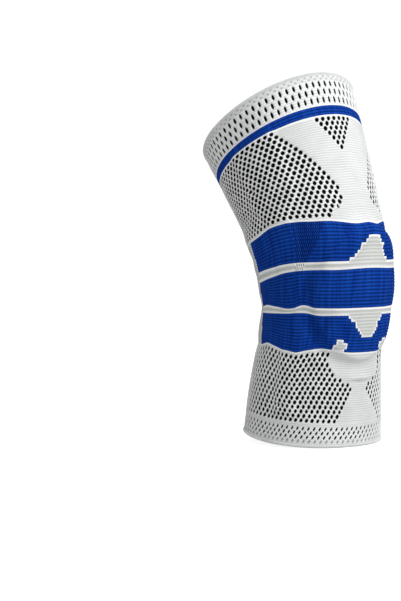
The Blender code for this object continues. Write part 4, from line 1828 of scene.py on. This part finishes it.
@dataclass
class SideStay(Clad):
    """A plate with an eyelet, a flat double-spiral spring and a foot, down one side."""

    side: Side
    head_thickness: float = 0.0022
    eyelet_width: float = 0.015
    eyelet_length: float = 0.023
    eyelet_middle: float = 0.56
    neck_width: float = 0.0094
    spring_thickness: float = 0.0024
    wire: float = 0.0008
    pitch: float = 0.0015
    tip_width: float = 0.0090
    tip_length: float = 0.036
    tip_thickness: float = 0.0026
    gap: float = 0.0007
    joint_gap: float = 0.0003
    outline: tuple[Outline, ...] = (
        Outline(0.00, 1.00),
        Outline(0.50, 1.00),
        Outline(0.76, 0.96),
        Outline(0.96, 0.80),
        Outline(1.00, 0.60),
        Outline(1.00, 0.44),
        Outline(0.92, 0.28),
        Outline(0.68, 0.14),
        Outline(0.42, 0.06),
    )
    face_steps: int = 12
    edge_round: float = 5.0        # how soon the plate reaches its thickness from an edge
    edge_share: float = 0.35       # share of the thickness right at an edge
    neck_taper: float = 0.9        # share of the neck's width at its end
    foot_shares: tuple[float, ...] = (0, 0.04, 0.12, 0.3, 0.9, 1)
    foot_widths: tuple[float, ...] = (0.30, 0.72, 0.97, 1, 1, 0.86)
    foot_depths: tuple[float, ...] = (0.40, 0.78, 0.96, 1, 1, 0.84)
    foot_rows: int = 22
    foot_columns: int = 24
    foot_squareness: float = 0.62
    coil_lean: float = 0.16

    @property
    def label(self) -> str:
        """Return the side's name as the solids have it."""
        return self.side.name.lower()

    def point(self, height: Array | float, across: Array | float, depth: Array | float) -> Array:
        """Return points of the stay at heights above the hem.

        Args:
            height: Height above the hem, in metres.
            across: Distance across the stay, in metres.
            depth: Distance inside the knit's outer face.

        Returns:
            The points.
        """
        height, across, depth = np.broadcast_arrays(*np.atleast_1d(height, across, depth))
        level = self.leg.level_of(height)
        turned = self.leg.go_round(self.side.value * self.leg.stay_angle, level, across)
        return self.leg.point(turned, level, depth - self.cloth.lift_below(turned, height))

    def head(self, material: Material) -> Object:
        """Make the plate, its eyelet and its neck, with rounded edges.

        Args:
            material: Its finish.

        Returns:
            The finished plate.
        """
        base = self.leg.head_base + self.leg.neck_length
        right = [(row.half_width * self.leg.head_width / 2.0, row.height * self.leg.head_length)
                 for row in self.outline]
        right += [(self.neck_width / 2.0, 0.0), (self.neck_width / 2.0, -self.leg.neck_length * 0.5),
                  (self.neck_width / 2.0 * self.neck_taper, -self.leg.neck_length)]
        edge = right + [(-across, along) for across, along in right[:0:-1]]
        edge = self.rounded(np.array(edge))
        middle = self.eyelet_middle * self.leg.head_length
        turn = np.arctan2(edge[:, 0] / self.eyelet_width, (edge[:, 1] - middle) / self.eyelet_length)
        hole = np.stack([self.eyelet_width / 2.0 * np.sin(turn),
                         middle + self.eyelet_length / 2.0 * np.cos(turn)], axis=1)
        shares = np.linspace(0.0, 1.0, self.face_steps)
        round_off = np.sqrt(np.clip(np.sin(math.pi * shares) * self.edge_round, 0.0, 1.0))
        round_off[0] = round_off[-1] = self.edge_share
        half = self.head_thickness / 2.0
        depth = self.leg.knit + self.gap + half
        loops = []
        for corner, inner in zip(edge, hole):
            flat = inner + (corner - inner) * shares[:, None]
            front = self.point(base + flat[:, 1], flat[:, 0], depth - half * round_off)
            back = self.point(base + flat[:, 1], flat[:, 0], depth + half * round_off)
            loops.append(np.concatenate([front, back[::-1]]))
        mesh = face_outwards(tube_mesh(f"{self.label}_plate", np.array(loops)))
        return mould(mesh, material, "stay_plastic", f"{self.label}_stay_head")

    def rounded(self, corners: Array) -> Array:
        """Cut the corners of a closed outline twice, so that it runs smoothly.

        Args:
            corners: The outline's corners in order.

        Returns:
            The smoother outline.
        """
        for _ in range(2):
            after = np.roll(corners, -1, axis=0)
            cut = np.stack([corners * 0.75 + after * 0.25, corners * 0.25 + after * 0.75], axis=1)
            corners = cut.reshape(-1, 2)
        return corners

    def spring(self, recipe: NodeTree, material: Material) -> Object:
        """Wind the spring: two flat coils side by side, with the tree and the finish given.

        Args:
            recipe: The tree that winds the coils.
            material: Its finish.

        Returns:
            The finished spring.
        """
        low = float(self.leg.height_of(self.leg.stay_foot)) + self.tip_length + self.joint_gap
        high = self.leg.head_base - self.joint_gap
        turns = int((high - low - self.wire) / self.pitch)
        heights = np.linspace(low + self.wire, high - self.wire, turns)
        half = self.leg.spring_width / 4.0 + self.wire / 2.0
        offset = self.leg.spring_width / 2.0 - half
        depth = self.leg.knit + self.gap + self.spring_thickness / 2.0
        hand = np.repeat((-1.0, 1.0), turns)
        heights = np.tile(heights, 2) + self.pitch / 4.0 * hand
        here = self.point(heights, hand * offset, depth)
        name = f"{self.label}_spring"
        mesh = bpy.data.meshes.new(name)
        mesh.from_pydata([tuple(point) for point in here], [], [])
        along = self.point(heights + self.pitch, hand * offset, depth) - here
        outward = self.point(heights, hand * offset, depth - self.wire) - here
        mark(mesh, "along", along, kind="FLOAT_VECTOR")
        mark(mesh, "out", outward, kind="FLOAT_VECTOR")
        mark(mesh, "hand", hand)
        thing = add_object(name, mesh)
        run_recipe(
            thing, recipe, material, half_across=half - self.wire / 2.0,
            half_deep=(self.spring_thickness - self.wire) / 2.0, strand=self.wire / 2.0,
            lean=self.coil_lean)
        return hand_over(thing, "stay_spring", f"{self.label}_stay_spring")

    def foot(self, material: Material) -> Object:
        """Make the rounded foot with its finish.

        Args:
            material: Its finish.

        Returns:
            The finished foot.
        """
        low = float(self.leg.height_of(self.leg.stay_foot))
        shares = (1.0 - np.cos(np.linspace(0.0, math.pi, self.foot_rows))) / 2.0
        width = self.tip_width / 2.0 * curve_through(self.foot_shares, self.foot_widths, shares)
        thick = self.tip_thickness / 2.0 * curve_through(self.foot_shares, self.foot_depths, shares)
        turns = np.linspace(0.0, 2.0 * math.pi, self.foot_columns + 1)[:-1]
        flat = self.foot_squareness
        loops = []
        for share, half_width, half_thick in zip(shares, width, thick):
            across = half_width * np.sign(np.cos(turns)) * np.abs(np.cos(turns)) ** flat
            deep = half_thick * np.sign(np.sin(turns)) * np.abs(np.sin(turns)) ** flat
            depth = self.leg.knit + self.gap + self.tip_thickness / 2.0 - deep
            loops.append(self.point(low + share * self.tip_length, across, depth))
        mesh = capped_mesh(f"{self.label}_foot", np.array(loops))
        return mould(mesh, material, "stay_plastic", f"{self.label}_stay_tip")


# The studio -----------------------------------------------------------------------------------


@dataclass(frozen=True)
class SoftLight:
    """A square light: its place right of, towards the camera from and above the kneecap."""

    name: str
    place: tuple[float, float, float]
    size: float
    power: float               # watts


@dataclass
class Studio:
    """Floor, soft light and camera."""

    azimuth: float = -44.0
    elevation: float = 3.0
    distance: float = 1.6
    pixel: float = 0.00087         # metres of the object's place seen in one pixel
    image: tuple[int, int] = (401, 601)
    origin_pixel: tuple[float, float] = (322.0, 293.8)
    sensor: float = 36.0
    floor_gap: float = 0.0004
    floor_radius: float = 12.0
    floor_glow: tuple[float, float] = (0.06, 0.80)     # cast on the sleeve, and more for the camera
    surround: tuple[float, float] = (1.05, 0.42)       # what the camera sees, and the light it casts
    lights: tuple[SoftLight, ...] = (
        SoftLight("key", (1.8, 0.9, 1.1), 0.6, 21.0),
        SoftLight("front", (0.2, 1.9, 1.5), 0.8, 8.0),
        SoftLight("top", (0.4, 0.3, 2.2), 0.9, 20.0),
    )

    def axes(self) -> tuple[Vector, Vector, Vector]:
        """Return the directions back to the camera, right and up in its image.

        Returns:
            The three directions.
        """
        turn, rise = math.radians(self.azimuth), math.radians(self.elevation)
        back = Vector((math.sin(turn) * math.cos(rise), -math.cos(turn) * math.cos(rise), math.sin(rise)))
        right = Vector((math.cos(turn), math.sin(turn), 0.0))
        return back, right, back.cross(right)

    def camera(self) -> None:
        """Set the camera where the portrait was taken from."""
        back, right, up = self.axes()
        width, height = self.image
        across = (self.origin_pixel[0] - width / 2.0) * self.pixel
        down = (self.origin_pixel[1] - height / 2.0) * self.pixel
        target = up * down - right * across
        data = bpy.data.cameras.new("portrait")
        data.sensor_width = self.sensor
        data.lens = self.distance / self.pixel / height * self.sensor
        data.clip_end = 100.0
        thing = bpy.data.objects.new("portrait", data)
        bpy.context.scene.collection.objects.link(thing)
        eye = back * self.distance
        away = (eye - target).normalized()
        level = Vector((0.0, 0.0, 1.0)).cross(away).normalized()
        turned = Matrix((level, away.cross(level), away)).transposed().to_4x4()
        thing.matrix_world = Matrix.Translation(eye) @ turned
        bpy.context.scene.camera = thing

    def floor(self, kit: ShaderKit, lowest: float) -> None:
        """Lay the floor just under the lowest point of the sleeve.

        Args:
            kit: The shared shader groups.
            lowest: Height of the sleeve's lowest point.
        """
        mesh = bpy.data.meshes.new("floor")
        shape = bmesh.new()
        bmesh.ops.create_circle(shape, cap_ends=True, segments=64, radius=self.floor_radius)
        bmesh.ops.translate(shape, verts=shape.verts[:], vec=(0.0, 0.0, lowest - self.floor_gap))
        shape.to_mesh(mesh)
        shape.free()
        material = FLOOR.material(kit)
        wiring = Wiring(material.node_tree)
        shader = material.node_tree.nodes["Principled BSDF"]
        shader.inputs["Emission Color"].default_value = (1.0, 1.0, 1.0, 1.0)
        direct = wiring.node("ShaderNodeLightPath").outputs["Is Camera Ray"]
        cast, more = self.floor_glow
        wiring.join(wiring.math("MULTIPLY_ADD", direct, more, cast), shader.inputs["Emission Strength"])
        mesh.materials.append(material)
        add_object("floor", mesh)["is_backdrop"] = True

    def light(self, lamp: SoftLight) -> None:
        """Hang a soft square light.

        Args:
            lamp: Its name, place, size and power.
        """
        back, right, _ = self.axes()
        data = bpy.data.lights.new(lamp.name, "AREA")
        data.size = lamp.size
        data.energy = lamp.power
        thing = bpy.data.objects.new(lamp.name, data)
        bpy.context.scene.collection.objects.link(thing)
        across, towards, up = lamp.place
        where = right * across + Vector((back.x, back.y, 0.0)).normalized() * towards
        where = where + Vector((0.0, 0.0, up))
        thing.matrix_world = Matrix.Translation(where) @ where.to_track_quat("Z", "Y").to_matrix().to_4x4()

    def world(self, seen: float, cast: float) -> None:
        """Make a white surround, with what the camera sees of it and what light it casts.

        Args:
            seen: Strength that the camera sees.
            cast: Strength of the light it casts.
        """
        world = bpy.data.worlds.new("white surround")
        world.use_nodes = True
        wiring = Wiring(world.node_tree)
        background = world.node_tree.nodes["Background"]
        background.inputs[0].default_value = (1.0, 1.0, 1.0, 1.0)
        direct = wiring.node("ShaderNodeLightPath").outputs["Is Camera Ray"]
        wiring.join(wiring.math("MULTIPLY_ADD", direct, seen - cast, cast), background.inputs[1])
        bpy.context.scene.world = world

    def build(self, kit: ShaderKit, lowest: float) -> None:
        """Set up floor, lights and camera round the sleeve.

        Args:
            kit: The shared shader groups.
            lowest: Height of the sleeve's lowest point.
        """
        self.floor(kit, lowest)
        for lamp in self.lights:
            self.light(lamp)
        self.world(*self.surround)
        self.camera()
        bpy.context.scene.view_settings.view_transform = "Standard"
        LOG.info("floor, lights and camera")


CREASES = (
    Crease(0.0, 0.0555, 0.017, 0.0024, 0.0, -0.0022),
    Crease(0.0, 0.0590, 0.018, 0.0034, 0.0, 0.0014),
    Crease(80.0, 0.0332, 0.011, 0.0034, 0.0, -0.0020),
    Crease(87.0, 0.2155, 0.011, 0.0034, 48.0, -0.0020),
    Crease(44.0, 0.0990, 0.005, 0.0150, 24.0, -0.0016),
    Crease(58.0, 0.1290, 0.004, 0.0160, 0.0, -0.0014),
)
CALF_WORK = OpenWork(
    half_width=0.28, half_height=0.475, softness=0.13, jitter=0.16, pit=0.0010, ribs=2.0,
    rib_height=0.00024, wales=6.0, stitches=4.0, slant=0.18)
THIGH_WORK = OpenWork(
    half_width=0.305, half_height=0.465, softness=0.13, jitter=0.18, pit=0.0010, ribs=2.0,
    rib_height=0.00020, wales=6.0, stitches=4.0, slant=0.10)
KNEE_WORK = OpenWork(
    half_width=0.20, half_height=0.42, softness=0.2, jitter=0.1, pit=0.0003, ribs=1.0,
    rib_height=0.00040, wales=6.0, stitches=2.0, slant=-0.25, repeats=3.0)
TOP_CUFF_WORK = OpenWork(
    half_width=0.185, half_height=0.40, softness=0.2, jitter=0.10, pit=0.0008, ribs=3.0,
    rib_height=0.00016, wales=6.0, stitches=7.0)
BOTTOM_CUFF_WORK = OpenWork(
    half_width=0.18, half_height=0.44, softness=0.2, jitter=0.10, pit=0.0008, ribs=2.0,
    rib_height=0.00016, wales=6.0, stitches=4.0, slant=0.2)


def knit_shells(cloth: Cloth) -> list[KnitShell]:
    """Lay out the five stretches of the knit, from the hem to the rim.

    Args:
        cloth: The surface that they lie on and the pattern that they follow.

    Returns:
        The shells, with their rows and open work.
    """
    bottom_cuff = CuffKnit(
        cloth, "bottom_cuff_knit", (
            Stretch("hem", "hem_dashes_bottom", 6, -0.75, 0.0),
            Stretch("hem_dashes_bottom", "hem_dashes_top", 32, 0.0, 4.0),
            Stretch("hem_dashes_top", "cuff_top", 8, 4.0, 5.0),
        ), 576, BOTTOM_CUFF_WORK, rolled_bottom=True, dash_rows={0: 0.55, 1: 1.0, 2: 1.0, 3: 1.0})
    calf = CalfKnit(
        cloth, "calf_knit", (Stretch("cuff_top", "blue_bottom", 124, 0.125, 15.625),),
        576, CALF_WORK, bright_rows=(0, 2))
    knee = KneeKnit(
        cloth, "knee_knit", (
            Stretch("blue_bottom", "lower_stripe_bottom", 48, 0.0, 12.0, True),
            Stretch("lower_stripe_bottom", "lower_stripe_top", 8, 12.0, 14.0),
            Stretch("lower_stripe_top", "upper_stripe_bottom", 44, 14.0, 25.0, True),
            Stretch("upper_stripe_bottom", "upper_stripe_top", 8, 25.0, 27.0),
            Stretch("upper_stripe_top", "blue_top", 44, 27.0, 38.0, True),
        ), 540, KNEE_WORK)
    thigh = ThighKnit(
        cloth, "thigh_knit", (Stretch("blue_top", "band_bottom", 176, -0.75, 21.25),),
        432, THIGH_WORK, bright_rows=(3, 3))
    top_cuff = CuffKnit(
        cloth, "top_cuff_knit", (
            Stretch("band_bottom", "band_top", 12, -2.0, -1.0, True),
            Stretch("band_top", "rim_dashes_bottom", 3, -1.0, 0.0),
            Stretch("rim_dashes_bottom", "rim_dashes_top", 42, 0.0, 3.0),
            Stretch("rim_dashes_top", "rim", 15, 3.0, 6.0),
        ), 576, TOP_CUFF_WORK, rolled_top=True, bright_rows=(3, 0),
        dash_rows={0: 1.0, 1: 1.0, 2: 1.0, 3: 0.35, 4: 0.35})
    return [bottom_cuff, calf, knee, thigh, top_cuff]


def main() -> None:
    """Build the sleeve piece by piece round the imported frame."""
    logging.basicConfig(level=logging.INFO, format="%(relativeCreated)d ms %(message)s")
    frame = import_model()
    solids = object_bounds()
    LOG.info("frame with %d nodes", len(frame["nodes"]))
    kit = ShaderKit()
    leg = LegShape()
    cloth = Cloth(leg, KnitChart(), CREASES)
    finish = KnitFinish()
    relief = relief_recipe()
    loops = loops_recipe()
    for shell in knit_shells(cloth):
        yarns = replace(finish, white=finish.grey) if isinstance(shell, KneeKnit) else finish
        shell.build(relief, yarns.material(kit, shell.name.replace("_", " "), shell.work))
    yarn = SmoothFinish("edge yarn", finish.white, finish.roughness).material(kit)
    EdgeLoops("hem_loops", leg, -1.0, -1.0).build(loops, yarn)
    EdgeLoops("rim_loops", leg, 1.0, 1.0).build(loops, yarn)
    PatellaRing(cloth).build(SILICONE.material(kit))
    plastic, steel = PLASTIC.material(kit), STEEL.material(kit)
    for side in Side:
        stay = SideStay(cloth, side)
        stay.head(plastic)
        stay.spring(loops, steel)
        stay.foot(plastic)
    Studio().build(kit, solids[0].z)


if __name__ == "__main__":
    main()
